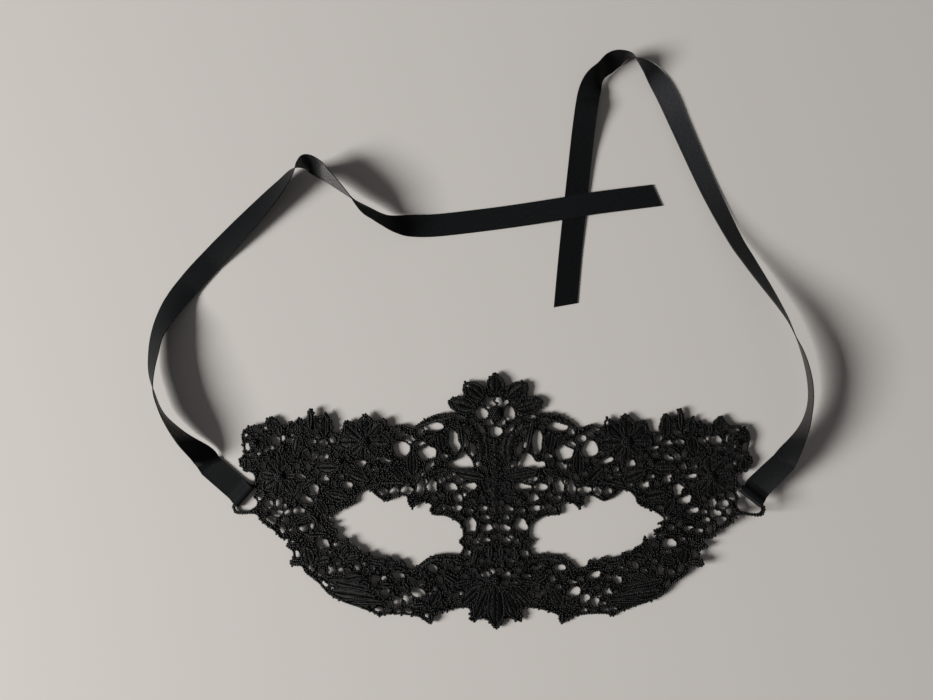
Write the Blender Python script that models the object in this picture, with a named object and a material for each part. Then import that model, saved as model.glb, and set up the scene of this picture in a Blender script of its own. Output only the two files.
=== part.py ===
"""A lace masquerade mask lying face up, with the two satin ribbons that tie it on.

Metres, +Z up. The mask looks up (+Z), its brow is towards +Y and its own right and left lie along X.
The origin is under the middle of the lace, on the surface that it lies on.

The lace is drawn once, for the side x > 0, in millimetres of a full-size drawing, and mirrored.
"""

import math
from dataclasses import dataclass

import bmesh
import bpy
from mathutils import Vector
from mathutils.geometry import delaunay_2d_cdt

MM = 0.001

# Driving dimensions, in metres
LACE_WIDTH = 0.2233
LACE_HEIGHT = 0.1071
NET_THICKNESS = 0.0013
RIM_RISE = 0.0004
LEAF_RISE = 0.0010
BAND_RISE = 0.0008
BOSS_RISE = 0.0014
TIE_BAR_WIDTH = 0.0016
TIE_BAR_THICKNESS = 0.0011
RIBBON_WIDTH = 0.0100
RIBBON_THICKNESS = 0.0004
DOUBLED_LENGTH = 0.0196
CLEARANCE = 0.0003
FLOOR_GAP = 0.00005

# The drawing's own size, in millimetres
DRAWN_WIDTH = 223.3
DRAWN_HEIGHT = 107.1

# The tie bar: the cord at each outer corner that the ribbon is folded round
TIE_BAR_MIDDLE = (106.7, 1.3)
TIE_BAR_FACES = math.radians(42)
TIE_BAR_SHOULDER = 0.0012

# The corner at x > 0 curls up off the surface: how far at most, which way it rises, from where it starts
# and over what reach, both in millimetres of the drawing, and how it gathers on the way
CURLED_SIDE = 1
CURL = 0.0070
CURL_FACES = math.radians(-35)
CURL_START = 76.0
CURL_REACH = 18.0
CURL_GATHERS = 1.5

# A leaf's shape, as shares of its length from the foot: where it is widest and where its tip begins,
# how wide it still is there, where its ridge starts and ends, and how much the ridge falls by the tip
LEAF_WIDEST = 0.35
LEAF_TAPER = 0.72
TAPER_WIDTH = 0.8
RIDGE_START = 0.2
RIDGE_END = 0.75
RIDGE_FALL = 0.3

# A leaf narrower than this has four corners and one high point
SLENDER = 0.0043
SLENDER_PEAK = 0.4

# Where a flower's petals start, in millimetres of the drawing from its middle
PETAL_FOOT = 2.0

# The ribbon's fold round its bar: its small bevels, how far the top layer runs for each unit it falls, how
# far past that slope the two layers lie together, and how far past the seam the lower layer runs out
FOLD_BEVEL = 0.0003
FOLD_SLOPE = 1.5
FOLD_REST = 0.0010
SEAM_END = 0.0003

# How far one straight step of an arc may turn
ARC_STEP = math.radians(78)

# Corners round a gap: with this half length in millimetres or more it has so many
GAP_CORNERS = ((3.4, 8), (2.2, 6), (1.65, 5), (0.0, 4))
BOSS_CORNERS = 8

# Two points nearer than this are one, in metres, and a triangle with less area is none, in square metres
SAME = 1e-6
NO_AREA = 1e-12

LACE_COLOUR = (0.012, 0.012, 0.013)
LACE_ROUGHNESS = 0.85
SATIN_COLOUR = (0.018, 0.019, 0.022)
SATIN_ROUGHNESS = 0.35

# Outlines: x, y and the bulge of the stretch to the next point, as a share of that stretch.
# They run clockwise, and a bulge above 0 is to the left of the way they run.
BROW_TO_TIE = (
    (0.0, 53.55, 0.10), (4.4, 47.5, 0.12), (13.5, 49.2, 0.10), (13.6, 43.3, 0.12),
    (20.4, 41.4, 0.14), (17.0, 36.5, 0.10), (33.6, 31.4, 0.04), (35.2, 29.8, 0.12),
    (45.4, 30.4, 0.42), (51.5, 32.8, 0.46), (59.2, 32.4, 0.40), (66.0, 28.4, -0.12),
    (69.6, 28.0, 0.10), (70.2, 32.2, 0.06), (71.6, 35.7, 0.30), (74.4, 35.0, -0.10),
    (77.4, 35.2, 0.04), (77.9, 37.9, 0.35), (79.9, 37.6, 0.0), (81.0, 32.8, -0.05),
    (82.7, 33.9, 0.45), (85.0, 33.2, -0.10), (86.3, 32.5, 0.50), (88.2, 32.0, -0.10),
    (92.2, 31.4, 0.10), (94.3, 34.0, 0.35), (97.5, 33.9, 0.05), (99.4, 31.4, 0.06),
    (104.4, 30.9, 0.16), (108.3, 26.6, 0.08), (107.2, 19.4, 0.30), (107.4, 12.6, 0.05),
    (103.2, 10.6, -0.10), (102.4, 8.4, 0.0),
)
LOOP_TO_CHIN = (
    (111.2, -4.6, 0.20), (108.6, -6.5, 0.05), (101.4, -6.6, 0.02), (98.6, -9.8, 0.03),
    (92.9, -13.8, 0.04), (90.6, -16.4, 0.08), (86.9, -17.0, -0.08), (87.6, -17.9, 0.45),
    (87.3, -20.4, 0.0), (85.5, -21.8, -0.08), (85.4, -24.4, 0.0), (86.6, -25.6, 0.30),
    (85.4, -27.7, 0.0), (81.6, -28.0, 0.0), (80.4, -30.2, 0.03), (74.4, -34.7, 0.06),
    (69.2, -39.8, 0.07), (55.2, -45.4, 0.04), (50.6, -47.2, 0.0), (48.9, -48.7, 0.0),
    (46.6, -47.7, 0.02), (32.0, -48.7, 0.0), (27.2, -51.6, 0.0), (25.8, -48.1, 0.03),
    (12.4, -44.9, -0.10), (10.9, -46.3, 0.0), (10.7, -50.0, 0.12), (6.4, -49.3, -0.05),
    (3.5, -50.0, 0.04), (0.0, -53.55, 0.0),
)
EYE = (
    (15.2, -10.8, 0.05), (20.8, -7.4, 0.02), (25.4, -6.9, -0.25), (27.7, -5.2, -0.20),
    (27.1, -3.0, 0.10), (30.4, -1.5, 0.05), (33.2, -2.4, -0.45), (37.1, -2.0, 0.05),
    (38.0, 1.2, 0.05), (41.2, 1.1, -0.24), (50.9, 1.4, 0.05), (53.6, 3.6, 0.12),
    (58.9, 1.0, 0.05), (60.0, -2.0, 0.05), (67.0, -5.3, 0.08), (71.0, -8.4, 0.10),
    (69.6, -9.5, 0.0), (67.9, -10.1, 0.0), (70.0, -11.4, 0.0), (66.4, -13.1, 0.0),
    (67.4, -15.2, 0.20), (64.8, -17.2, 0.0), (62.4, -15.7, 0.0), (61.3, -18.5, 0.0),
    (58.0, -20.2, 0.0), (56.2, -22.7, 0.0), (53.3, -21.8, 0.0), (52.1, -24.3, 0.03),
    (48.4, -24.9, 0.0), (44.9, -24.0, 0.0), (42.3, -25.8, 0.0), (39.0, -25.4, 0.0),
    (37.9, -27.8, 0.05), (34.4, -29.1, 0.05), (32.7, -27.4, -0.12), (20.8, -23.0, -0.03),
    (16.0, -23.1, 0.05), (13.9, -20.3, -0.35), (14.0, -15.2, -0.05),
)
LOOP_INSIDE = ((109.2, -4.4), (106.0, -5.2), (102.6, -3.9), (101.7, -1.6), (103.0, 0.6), (101.6, 3.6))
THROAT_GAP = ((9.8, 13.6), (11.6, 17.6), (13.6, 19.4), (16.3, 16.6), (20.2, 14.4), (16.8, 13.0))

# Round and oval gaps: x, y, half length, half width and tilt in degrees
BROW_GAPS = (
    (17.7, 24.0, 4.9, 1.9, 82), (26.7, 30.4, 4.3, 1.6, -2), (32.2, 28.3, 1.6, 1.2, 60),
    (29.2, 19.3, 3.8, 2.7, 10), (22.3, 17.8, 1.7, 0.8, 0), (32.3, 23.0, 2.1, 0.8, -18),
    (36.7, 25.3, 2.0, 1.3, 35), (40.2, 20.9, 3.4, 3.1, 20), (40.4, 27.2, 1.8, 0.6, -40),
    (2.5, 28.6, 2.5, 0.9, 65), (6.2, 29.3, 2.3, 0.7, 50), (10.0, 20.9, 2.8, 0.8, 72),
    (13.0, 24.0, 2.4, 0.7, 78), (15.1, 34.3, 2.3, 0.5, 10), (28.4, 13.6, 2.4, 1.0, -50),
)
BRIDGE_GAPS = (
    (7.2, 14.4, 1.2, 0.9, 30), (11.3, 5.0, 3.5, 1.2, -2), (15.6, 8.0, 1.7, 0.9, 20),
    (19.0, 4.8, 2.5, 1.6, 12), (23.0, 7.9, 1.5, 1.1, 60), (27.0, 5.2, 3.0, 1.6, 85),
    (31.9, 4.8, 3.0, 1.5, -80), (33.9, 9.0, 1.8, 0.6, -45), (37.6, 3.6, 2.7, 1.3, 0),
    (16.0, 0.3, 1.8, 1.6, 0), (26.2, 0.2, 1.3, 0.8, 0), (16.6, -4.1, 2.1, 1.1, 10),
    (22.2, -3.4, 1.2, 0.8, 0), (11.0, -5.1, 1.2, 0.9, 0),
    (4.2, -8.0, 1.4, 0.9, 0), (10.6, -11.0, 2.9, 2.2, -55), (3.7, -12.3, 2.2, 1.2, 0),
    (4.4, -17.2, 1.6, 1.0, 0), (12.2, -22.8, 1.5, 1.2, -40),
    (6.2, -25.8, 1.0, 0.8, 0), (4.2, -31.4, 1.9, 1.0, 0),
)
LID_GAPS = (
    (43.1, 3.2, 1.9, 1.2, -60), (47.6, 3.1, 1.6, 1.3, 0), (51.8, 6.0, 1.7, 0.7, -35),
    (47.3, 16.0, 2.9, 0.8, 20), (51.0, 12.2, 1.3, 0.9, 30), (57.4, 14.7, 1.9, 1.3, -10),
    (63.0, 5.6, 2.1, 1.4, 0), (66.0, 9.2, 1.3, 0.8, 20), (73.0, 8.6, 2.0, 1.3, 55),
    (77.5, 4.2, 3.3, 1.5, 60), (82.9, 9.3, 2.3, 0.8, 12), (80.6, -0.3, 3.3, 1.3, 28),
    (83.4, -5.0, 2.3, 1.3, 10), (69.6, -3.9, 1.3, 0.7, -25), (72.5, -8.0, 1.1, 0.7, 60),
    (77.5, -10.4, 1.6, 0.7, 80), (74.0, -12.2, 1.3, 0.9, 70), (81.0, -12.4, 1.9, 0.8, 20),
)
TEMPLE_GAPS = (
    (69.6, 25.2, 1.8, 0.8, 60), (68.0, 18.4, 1.4, 0.6, 75), (73.4, 23.4, 1.5, 1.3, 0),
    (78.6, 23.9, 1.8, 1.0, -10), (73.4, 17.2, 1.8, 1.1, -20), (77.4, 17.6, 2.0, 0.8, -60),
    (77.2, 27.9, 1.6, 0.8, -10), (87.8, 24.4, 1.6, 1.0, -20),
    (93.9, 24.6, 2.2, 1.7, 15), (97.2, 30.2, 1.4, 0.8, 0), (101.6, 28.6, 2.0, 0.8, 12),
    (105.6, 22.0, 2.0, 0.6, 75), (98.2, 20.7, 1.6, 0.8, -15), (103.6, 17.8, 1.5, 0.7, 20),
    (99.0, 13.6, 1.3, 1.0, 50), (99.3, 8.6, 1.4, 0.8, -50), (80.4, 19.0, 1.4, 0.8, 60),
    (80.0, 13.4, 1.6, 0.9, 80),
)
CHEEK_GAPS = (
    (91.8, -1.8, 1.9, 1.3, 80), (96.2, -2.2, 1.9, 1.5, 0), (99.6, 1.2, 1.7, 0.8, -65),
    (92.6, -6.0, 2.1, 1.3, 0), (98.0, -4.9, 1.3, 0.7, 60), (94.6, -8.8, 2.0, 1.1, 15),
    (88.8, -9.0, 1.5, 1.1, 10), (89.8, -12.6, 1.4, 0.9, 80), (85.6, -13.4, 1.7, 0.8, 15),
    (73.0, -18.6, 2.6, 2.0, 15), (78.6, -17.0, 1.2, 0.8, 20),
    (83.4, -22.8, 1.4, 0.7, 80),
    (69.0, -29.6, 2.0, 1.0, 70), (73.4, -30.4, 1.4, 1.1, -30), (77.6, -28.4, 1.5, 0.6, 65),
    (58.4, -27.6, 1.6, 1.0, 60),
    (62.0, -29.8, 1.3, 0.8, 40), (50.9, -33.4, 1.9, 1.4, -55),
    (41.2, -31.6, 2.5, 1.3, 20), (46.6, -38.6, 1.7, 1.4, 20),
    (32.6, -38.5, 2.9, 1.6, 25), (37.0, -41.3, 2.1, 1.6, 60), (41.4, -42.6, 2.1, 1.4, -70),
    (49.0, -45.4, 1.4, 0.6, 0),
    (26.8, -28.7, 1.9, 1.5, 10), (31.8, -34.6, 1.4, 0.8, 0), (23.6, -33.4, 1.5, 0.9, 80),
    (16.6, -29.0, 1.2, 0.7, -20),
)

# Worked motifs. A leaf: its foot, its tip and its width
LEAVES = (
    (0.0, 44.6, 0.0, 52.6, 7.0), (5.4, 42.6, 12.6, 48.4, 6.8), (8.4, 38.0, 19.2, 41.0, 6.4),
    (16.0, 33.0, 13.6, 20.2, 2.2), (24.0, 27.8, 22.6, 20.6, 4.4), (26.0, 26.2, 29.8, 24.4, 3.0),
    (35.6, 20.6, 35.2, 9.6, 4.2), (4.6, 9.0, 17.4, 11.2, 3.8), (20.6, 12.2, 26.4, 10.0, 2.8),
    (45.4, 13.2, 39.2, 7.4, 4.4), (63.4, 11.6, 54.4, 8.0, 4.6),
    (66.6, 13.0, 76.4, 13.2, 4.4), (71.8, 2.6, 62.6, 0.6, 4.2), (75.6, 0.0, 71.2, -6.4, 3.4),
    (76.4, 8.4, 81.6, 4.8, 2.2), (86.6, -1.4, 82.2, 4.8, 3.0), (72.8, 26.2, 72.8, 35.4, 3.0),
    (79.0, 29.0, 78.9, 37.6, 2.6), (83.6, 27.4, 83.9, 33.8, 3.0), (91.4, 27.2, 92.0, 31.2, 2.6),
    (95.2, 28.0, 95.9, 33.8, 3.6), (85.0, 18.6, 83.4, 26.8, 4.2), (91.4, 19.0, 90.6, 22.8, 2.4),
    (105.8, 11.4, 105.6, 17.0, 3.4), (78.6, -6.6, 75.2, -9.4, 2.4), (84.0, -9.4, 76.6, -6.2, 3.0),
    (71.0, -14.6, 79.6, -14.8, 2.6), (62.6, -19.0, 65.6, -22.8, 3.0), (80.0, -20.2, 78.2, -27.0, 5.0),
    (82.4, -18.6, 87.0, -19.0, 2.2), (81.4, -25.8, 85.8, -26.0, 2.4), (69.8, -24.6, 75.2, -26.0, 3.4),
    (63.6, -24.6, 57.4, -23.6, 3.0), (53.6, -25.2, 46.6, -26.6, 3.2), (44.4, -28.6, 37.4, -29.4, 2.6),
    (56.4, -31.8, 64.0, -33.2, 3.4), (52.8, -37.0, 70.0, -33.4, 3.6), (50.4, -40.6, 70.0, -37.8, 4.6),
    (47.4, -42.4, 63.4, -42.0, 2.8), (42.6, -35.6, 48.0, -35.4, 2.6), (27.4, -46.6, 27.0, -50.8, 2.6),
    (29.0, -43.0, 34.6, -43.6, 2.4), (23.6, -37.4, 27.6, -44.4, 4.2), (15.6, -35.4, 22.0, -31.2, 2.6),
    (0.0, -35.4, 0.0, -52.4, 6.6), (3.4, -37.4, 8.6, -49.2, 5.0), (6.6, -35.8, 14.4, -43.4, 4.4),
    (9.6, -33.8, 18.6, -35.4, 2.2), (13.6, -26.2, 17.8, -25.2, 1.8), (2.2, -19.6, 2.4, -24.8, 2.6),
    (8.0, -20.2, 9.2, -26.2, 2.2), (38.8, -34.4, 36.4, -37.6, 2.6),
)
# A flower: x, y, its petals' reach and width, and each petal's direction in degrees
FLOWERS = (
    (56.0, 24.0, 10.8, 6.0, (0, 42, 88, 133, 180)), (56.0, 24.0, 7.8, 5.0, (-44, -90, -132)),
    (91.6, 9.4, 8.6, 4.6, (92, 50, 8, -36, -84, -128)), (91.6, 9.4, 6.2, 3.6, (134, 176)),
    (102.6, 23.6, 4.2, 3.0, (30, 90, 150, 210, 270)),
)
# A boss: x, y and radius
BOSSES = (
    (0.0, 36.5, 4.0), (56.0, 24.0, 2.4), (91.6, 9.4, 2.2), (102.6, 23.6, 1.6), (66.4, 15.8, 1.4),
    (0.0, -33.6, 1.6),
)
# A scroll: its width and the points along its ridge
SCROLLS = (
    (2.2, ((18.0, 34.6), (23.6, 33.8), (29.0, 32.2), (33.2, 30.4))),
    (3.6, ((15.6, 31.6), (11.2, 30.2), (7.6, 26.2), (6.0, 21.0), (6.2, 16.6))),
    (1.6, ((4.6, 26.2), (3.6, 21.6), (3.6, 17.0))),
    (3.2, ((0.0, 24.0), (0.0, 13.0), (0.0, 2.0), (0.0, -8.0), (0.0, -19.0))),
    (2.2, ((16.6, -25.4), (21.4, -24.6), (26.4, -25.2), (30.6, -28.0), (32.0, -31.6))),
    (1.6, ((31.0, 12.4), (34.0, 6.6), (40.6, 6.8), (48.6, 6.6), (55.0, 4.8))),
)
ROSETTE_INNER, ROSETTE_OUTER, ROSETTE_SPOKE = 4.3, 7.9, 0.9
ROSETTE_SECTORS = 8


def drawn(x: float, y: float) -> Vector:
    """A point of the drawing, in metres."""
    return Vector((x * LACE_WIDTH / DRAWN_WIDTH, y * LACE_HEIGHT / DRAWN_HEIGHT))


def along(point: Vector, angle: float, distance: float) -> Vector:
    return point + Vector((math.cos(angle), math.sin(angle))) * distance


def arc(start: Vector, end: Vector, bulge: float) -> list[Vector]:
    """Start and the points of the arc up to, but not at, its end."""
    turn = 4 * math.atan(2 * bulge)
    steps = max(1, round(abs(turn) / ARC_STEP))
    if steps == 1 and abs(turn) < ARC_STEP / 2:
        return [start]
    steps = max(2, steps)
    chord = end - start
    radius = chord.length / (2 * math.sin(turn / 2))
    side = Vector((-chord.y, chord.x)).normalized()
    centre = (start + end) / 2 - side * radius * math.cos(turn / 2)
    first = start - centre
    points = []
    for step in range(steps):
        angle = -turn * step / steps
        points.append(centre + Vector((
            first.x * math.cos(angle) - first.y * math.sin(angle),
            first.x * math.sin(angle) + first.y * math.cos(angle),
        )))
    return points


def outline(turns, closed: bool) -> list[Vector]:
    """The points of an outline given as x, y and bulge."""
    ends = [drawn(x, y) for x, y, _ in turns]
    points = []
    for index, (_, _, bulge) in enumerate(turns):
        if index + 1 < len(turns) or closed:
            points += arc(ends[index], ends[(index + 1) % len(ends)], bulge)
        else:
            points.append(ends[index])
    return points


def oval(x: float, y: float, long: float, short: float, tilt: float) -> list[Vector]:
    """A gap's corners: more of them round a larger gap."""
    corners = next(count for least, count in GAP_CORNERS if long >= least)
    turn = math.radians(tilt)
    points = []
    for corner in range(corners):
        angle = 2 * math.pi * corner / corners
        u, v = long * math.cos(angle), short * math.sin(angle)
        points.append(drawn(
            x + u * math.cos(turn) - v * math.sin(turn),
            y + u * math.sin(turn) + v * math.cos(turn),
        ))
    return points


def rosette_gaps() -> list[list[Vector]]:
    """The openings between the rosette's spokes, on the drawn side."""
    x, y, _ = BOSSES[0]
    gaps = []
    for sector in range(ROSETTE_SECTORS // 2):
        low = -math.pi / 2 + 2 * math.pi * sector / ROSETTE_SECTORS
        high = low + 2 * math.pi / ROSETTE_SECTORS
        points = []
        for radius, angles in ((ROSETTE_INNER, (high, low)), (ROSETTE_OUTER, (low, (low + high) / 2, high))):
            inset = math.asin(ROSETTE_SPOKE / 2 / radius)
            for angle in angles:
                inside = min(max(angle, low + inset), high - inset)
                points.append(drawn(x + radius * math.cos(inside), y + radius * math.sin(inside)))
        gaps.append(points)
    return gaps


@dataclass(frozen=True)
class TieBar:
    """The straight cord at the lace's outer corner, in metres."""

    middle: Vector
    out: Vector
    down: Vector

    @property
    def half_length(self) -> float:
        """Half the ribbon and its clearance."""
        return RIBBON_WIDTH / 2 + CLEARANCE

    def at(self, out: float, down: float) -> Vector:
        return self.middle + self.out * out + self.down * down


def tie_bar() -> TieBar:
    out = Vector((math.cos(TIE_BAR_FACES), math.sin(TIE_BAR_FACES)))
    return TieBar(drawn(*TIE_BAR_MIDDLE), out, Vector((out.y, -out.x)))


def silhouette(bar: TieBar) -> list[Vector]:
    """The drawn side's outline, from the brow's tip by the outer corner to the chin's tip."""
    reach = bar.half_length + TIE_BAR_SHOULDER
    corner = [bar.at(TIE_BAR_WIDTH / 2, -reach), bar.at(TIE_BAR_WIDTH / 2, reach)]
    return outline(BROW_TO_TIE, False) + corner + outline(LOOP_TO_CHIN, False)


def loop_inside(bar: TieBar) -> list[Vector]:
    """The opening that the ribbon goes through."""
    ends = [bar.at(-TIE_BAR_WIDTH / 2, -bar.half_length), bar.at(-TIE_BAR_WIDTH / 2, bar.half_length)]
    return ends + [drawn(x, y) for x, y in LOOP_INSIDE]


def gaps(bar: TieBar) -> list[list[Vector]]:
    """Every opening of the drawn side, the eye first."""
    ovals = BROW_GAPS + BRIDGE_GAPS + LID_GAPS + TEMPLE_GAPS + CHEEK_GAPS
    found = [outline(EYE, True), loop_inside(bar), [drawn(x, y) for x, y in THROAT_GAP]]
    return found + rosette_gaps() + [oval(*gap) for gap in ovals]


@dataclass(frozen=True)
class Leaf:
    """A raised leaf with a ridge from foot to tip, in metres."""

    foot: Vector
    tip: Vector
    width: float

    def across(self) -> Vector:
        way = (self.tip - self.foot).normalized()
        return Vector((-way.y, way.x))

    def edge(self) -> list[Vector]:
        side = self.across() * self.width / 2
        near, far = self.foot.lerp(self.tip, LEAF_WIDEST), self.foot.lerp(self.tip, LEAF_TAPER)
        if self.width < SLENDER:
            return [self.foot, near - side, self.tip, near + side]
        narrow = side * TAPER_WIDTH
        return [self.foot, near - side, far - narrow, self.tip, far + narrow, near + side]

    def ridge(self) -> list[Vector]:
        if self.width < SLENDER:
            return [self.foot.lerp(self.tip, SLENDER_PEAK)]
        return [self.foot.lerp(self.tip, RIDGE_START), self.foot.lerp(self.tip, RIDGE_END)]

    def rise(self, point: Vector) -> float:
        way = self.tip - self.foot
        share = (point - self.foot).dot(way) / way.length_squared
        if not 0 < share < 1:
            return 0.0
        half = self.width / 2 * min(1, share / LEAF_WIDEST, (1 - share) / (1 - LEAF_TAPER))
        off = abs((point - self.foot).dot(self.across()))
        return LEAF_RISE * max(0.0, 1 - off / half) * (1 - RIDGE_FALL * share)


@dataclass(frozen=True)
class Scroll:
    """A raised band along a line of points, in metres."""

    line: list[Vector]
    width: float

    def sides(self) -> list[list[Vector]]:
        found = []
        for side in (1, -1):
            row = []
            for index, point in enumerate(self.line):
                before, after = self.line[max(index - 1, 0)], self.line[min(index + 1, len(self.line) - 1)]
                way = (after - before).normalized()
                row.append(point + Vector((-way.y, way.x)) * side * self.width / 2)
            found.append(row)
        return found

    def rise(self, point: Vector) -> float:
        nearest = math.inf
        for start, end in zip(self.line, self.line[1:]):
            way = end - start
            share = min(max((point - start).dot(way) / way.length_squared, 0), 1)
            nearest = min(nearest, (point - start - way * share).length)
        return BAND_RISE * max(0.0, 1 - nearest / (self.width / 2))


@dataclass(frozen=True)
class Boss:
    """A round knob, in metres."""

    middle: Vector
    radius: float

    def edge(self) -> list[Vector]:
        turn = 2 * math.pi / BOSS_CORNERS
        return [along(self.middle, turn * (step + 0.5), self.radius) for step in range(BOSS_CORNERS)]

    def rise(self, point: Vector) -> float:
        return BOSS_RISE * max(0.0, 1 - ((point - self.middle).length / self.radius) ** 2)


def leaves() -> list[Leaf]:
    scale = LACE_WIDTH / DRAWN_WIDTH
    made = [Leaf(drawn(x, y), drawn(u, v), w * scale) for x, y, u, v, w in LEAVES]
    for x, y, reach, width, ways in FLOWERS:
        for degrees in ways:
            angle = math.radians(degrees)
            foot = drawn(x + PETAL_FOOT * math.cos(angle), y + PETAL_FOOT * math.sin(angle))
            tip = drawn(x + reach * math.cos(angle), y + reach * math.sin(angle))
            made.append(Leaf(foot, tip, width * scale))
    return made


def scrolls() -> list[Scroll]:
    scale = LACE_WIDTH / DRAWN_WIDTH
    return [Scroll([drawn(x, y) for x, y in points], width * scale) for width, points in SCROLLS]


def bosses() -> list[Boss]:
    scale = LACE_WIDTH / DRAWN_WIDTH
    return [Boss(drawn(x, y), radius * scale) for x, y, radius in BOSSES]


def contains(loop: list[Vector], point: Vector) -> bool:
    """Whether the point is inside the closed loop."""
    inside = False
    for a, b in zip(loop, loop[1:] + loop[:1]):
        if (a.y > point.y) != (b.y > point.y):
            crossing = a.x + (b.x - a.x) * (point.y - a.y) / (b.y - a.y)
            inside = not inside if point.x < crossing else inside
    return inside


class Region:
    """An area inside one loop and outside the others."""

    def __init__(self, outer: list[Vector], inner: list[list[Vector]]):
        self.outer = outer
        self.inner = [(loop, *self.box(loop)) for loop in inner]

    @staticmethod
    def box(loop: list[Vector]) -> tuple[float, float, float, float]:
        across, up = [p.x for p in loop], [p.y for p in loop]
        return (min(across), max(across), min(up), max(up))

    def holds(self, point: Vector) -> bool:
        for loop, left, right, low, high in self.inner:
            if left < point.x < right and low < point.y < high and contains(loop, point):
                return False
        return contains(self.outer, point)


def triangulate(points: list[Vector], edges: list[tuple[int, int]], region: Region):
    """The area cut into triangles that follow the edges: its points, and its triangles anticlockwise."""
    flat, _, faces, _, _, _ = delaunay_2d_cdt(points, edges, [], 0, SAME / 10)
    kept = []
    for face in faces:
        a, b, c = (flat[index] for index in face)
        turn = (b - a).cross(c - a)
        if abs(turn) > NO_AREA and region.holds((a + b + c) / 3):
            kept.append(tuple(face) if turn > 0 else tuple(reversed(face)))
    return flat, kept


def rim_edges(faces) -> list[tuple[int, int]]:
    """The edges that only one face has, in that face's direction."""
    directed = set()
    for face in faces:
        directed.update(zip(face, face[1:] + face[:1]))
    return [(a, b) for a, b in directed if (b, a) not in directed]


class Sketch:
    """Points and lines for one triangulation."""

    def __init__(self):
        self.points: list[Vector] = []
        self.edges: list[tuple[int, int]] = []

    def line(self, points: list[Vector], closed: bool = False) -> None:
        first = len(self.points)
        self.points += [Vector((max(p.x, 0.0), p.y)) for p in points]
        self.edges += [(first + i, first + i + 1) for i in range(len(points) - 1)]
        if closed:
            self.edges.append((first + len(points) - 1, first))


def underside(point: Vector, bar: TieBar) -> float:
    """The lace lies flat, but its tie bar is lifted over the ribbon that passes below it."""
    off = point - bar.middle
    beside = abs(off.dot(bar.down)) < bar.half_length + TIE_BAR_SHOULDER + SAME
    on_bar = abs(off.dot(bar.out)) < TIE_BAR_WIDTH / 2 + SAME
    return FLOOR_GAP + RIBBON_THICKNESS + CLEARANCE if beside and on_bar else 0.0


def curl(point: Vector) -> float:
    """How far the curled corner is off the surface at a point."""
    way = Vector((math.cos(CURL_FACES), math.sin(CURL_FACES)))
    reached = point.dot(way) * DRAWN_WIDTH / LACE_WIDTH - CURL_START
    return CURL * min(max(reached / CURL_REACH, 0.0), 1.0) ** CURL_GATHERS


def bar_curl(bar: TieBar, down: float) -> float:
    """The curl at a place along the tie bar: even from end to end, so that the ribbon can follow it."""
    low, high = curl(bar.at(0, -bar.half_length)), curl(bar.at(0, bar.half_length))
    return low + (high - low) * (1 + down / bar.half_length) / 2


def bar_lean(bar: TieBar) -> float:
    """How far the curl tips the tie bar, in radians."""
    half = bar.half_length
    return math.atan2(bar_curl(bar, half) - bar_curl(bar, -half), 2 * half)


def curl_corner(lace: bpy.types.Object, bar: TieBar) -> None:
    """Curls one corner up. The mirrored side has a group of its own, so it stays flat."""
    curled = lace.vertex_groups.new(name="curl.R")
    lace.vertex_groups.new(name="curl.L")
    for vertex in lace.data.vertices:
        point = vertex.co.xy
        if underside(point, bar):
            height = bar_curl(bar, (point - bar.middle).dot(bar.down))
        else:
            height = curl(point)
        curled.add([vertex.index], height / CURL, "REPLACE")
    displace = lace.modifiers.new("Curled corner", "DISPLACE")
    displace.direction = "Z"
    displace.mid_level = 0.0
    displace.strength = CURL
    displace.vertex_group = curled.name


def build_lace() -> bpy.types.Object:
    """The openwork lace, as one piece: half of it is made, and a Mirror modifier makes the other."""
    bar = tie_bar()
    edge, openings = silhouette(bar), gaps(bar)
    region = Region(edge, openings)
    motifs = leaves() + scrolls() + bosses()
    sketch = Sketch()
    sketch.line(edge, True)
    for opening in openings:
        sketch.line(opening, True)
    for motif in motifs:
        if isinstance(motif, Scroll):
            for row in motif.sides() + [motif.line]:
                sketch.line(row)
        else:
            sketch.line(motif.edge(), True)
            sketch.line(motif.ridge() if isinstance(motif, Leaf) else [motif.middle])
    flat, faces = triangulate(sketch.points, sketch.edges, region)
    rim = rim_edges(faces)

    low = Sketch()
    place = {}
    for index in sorted({index for pair in rim for index in pair}):
        place[index] = len(low.points)
        low.points.append(flat[index])
    low.edges = [(place[a], place[b]) for a, b in rim]
    low_flat, low_faces = triangulate(low.points, low.edges, region)

    on_outline = {index for index in place if near_loops(flat[index], [edge, openings[0]])}
    mesh = bmesh.new()
    top, bottom = {}, {}
    for index in sorted({index for face in faces for index in face}):
        point = flat[index]
        rise = max(motif.rise(point) for motif in motifs) + (RIM_RISE if index in on_outline else 0.0)
        height = NET_THICKNESS + rise
        if index in place:
            lifted = underside(point, bar)
            height = lifted + TIE_BAR_THICKNESS if lifted else height
            bottom[place[index]] = mesh.verts.new((point.x, point.y, lifted))
        top[index] = mesh.verts.new((point.x, point.y, height))
    assert len(low_flat) == len(low.points)
    for face in faces:
        mesh.faces.new([top[index] for index in face])
    for face in low_faces:
        mesh.faces.new([bottom[index] for index in reversed(face)])
    for a, b in rim:
        if max(flat[a].x, flat[b].x) > SAME:
            mesh.faces.new([top[b], top[a], bottom[place[a]], bottom[place[b]]])
    lace = new_object("lace", mesh, LACE_COLOUR, LACE_ROUGHNESS)
    mirror = lace.modifiers.new("Other side", "MIRROR")
    mirror.use_mirror_merge = True
    mirror.merge_threshold = 10 * SAME
    curl_corner(lace, bar)
    return lace


def near_loops(point: Vector, loops: list[list[Vector]]) -> bool:
    """Whether the point lies on one of the loops."""
    for loop in loops:
        for a, b in zip(loop, loop[1:] + loop[:1]):
            way = b - a
            share = min(max((point - a).dot(way) / max(way.length_squared, NO_AREA), 0), 1)
            if (point - a - way * share).length < SAME:
                return True
    return False


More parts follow.
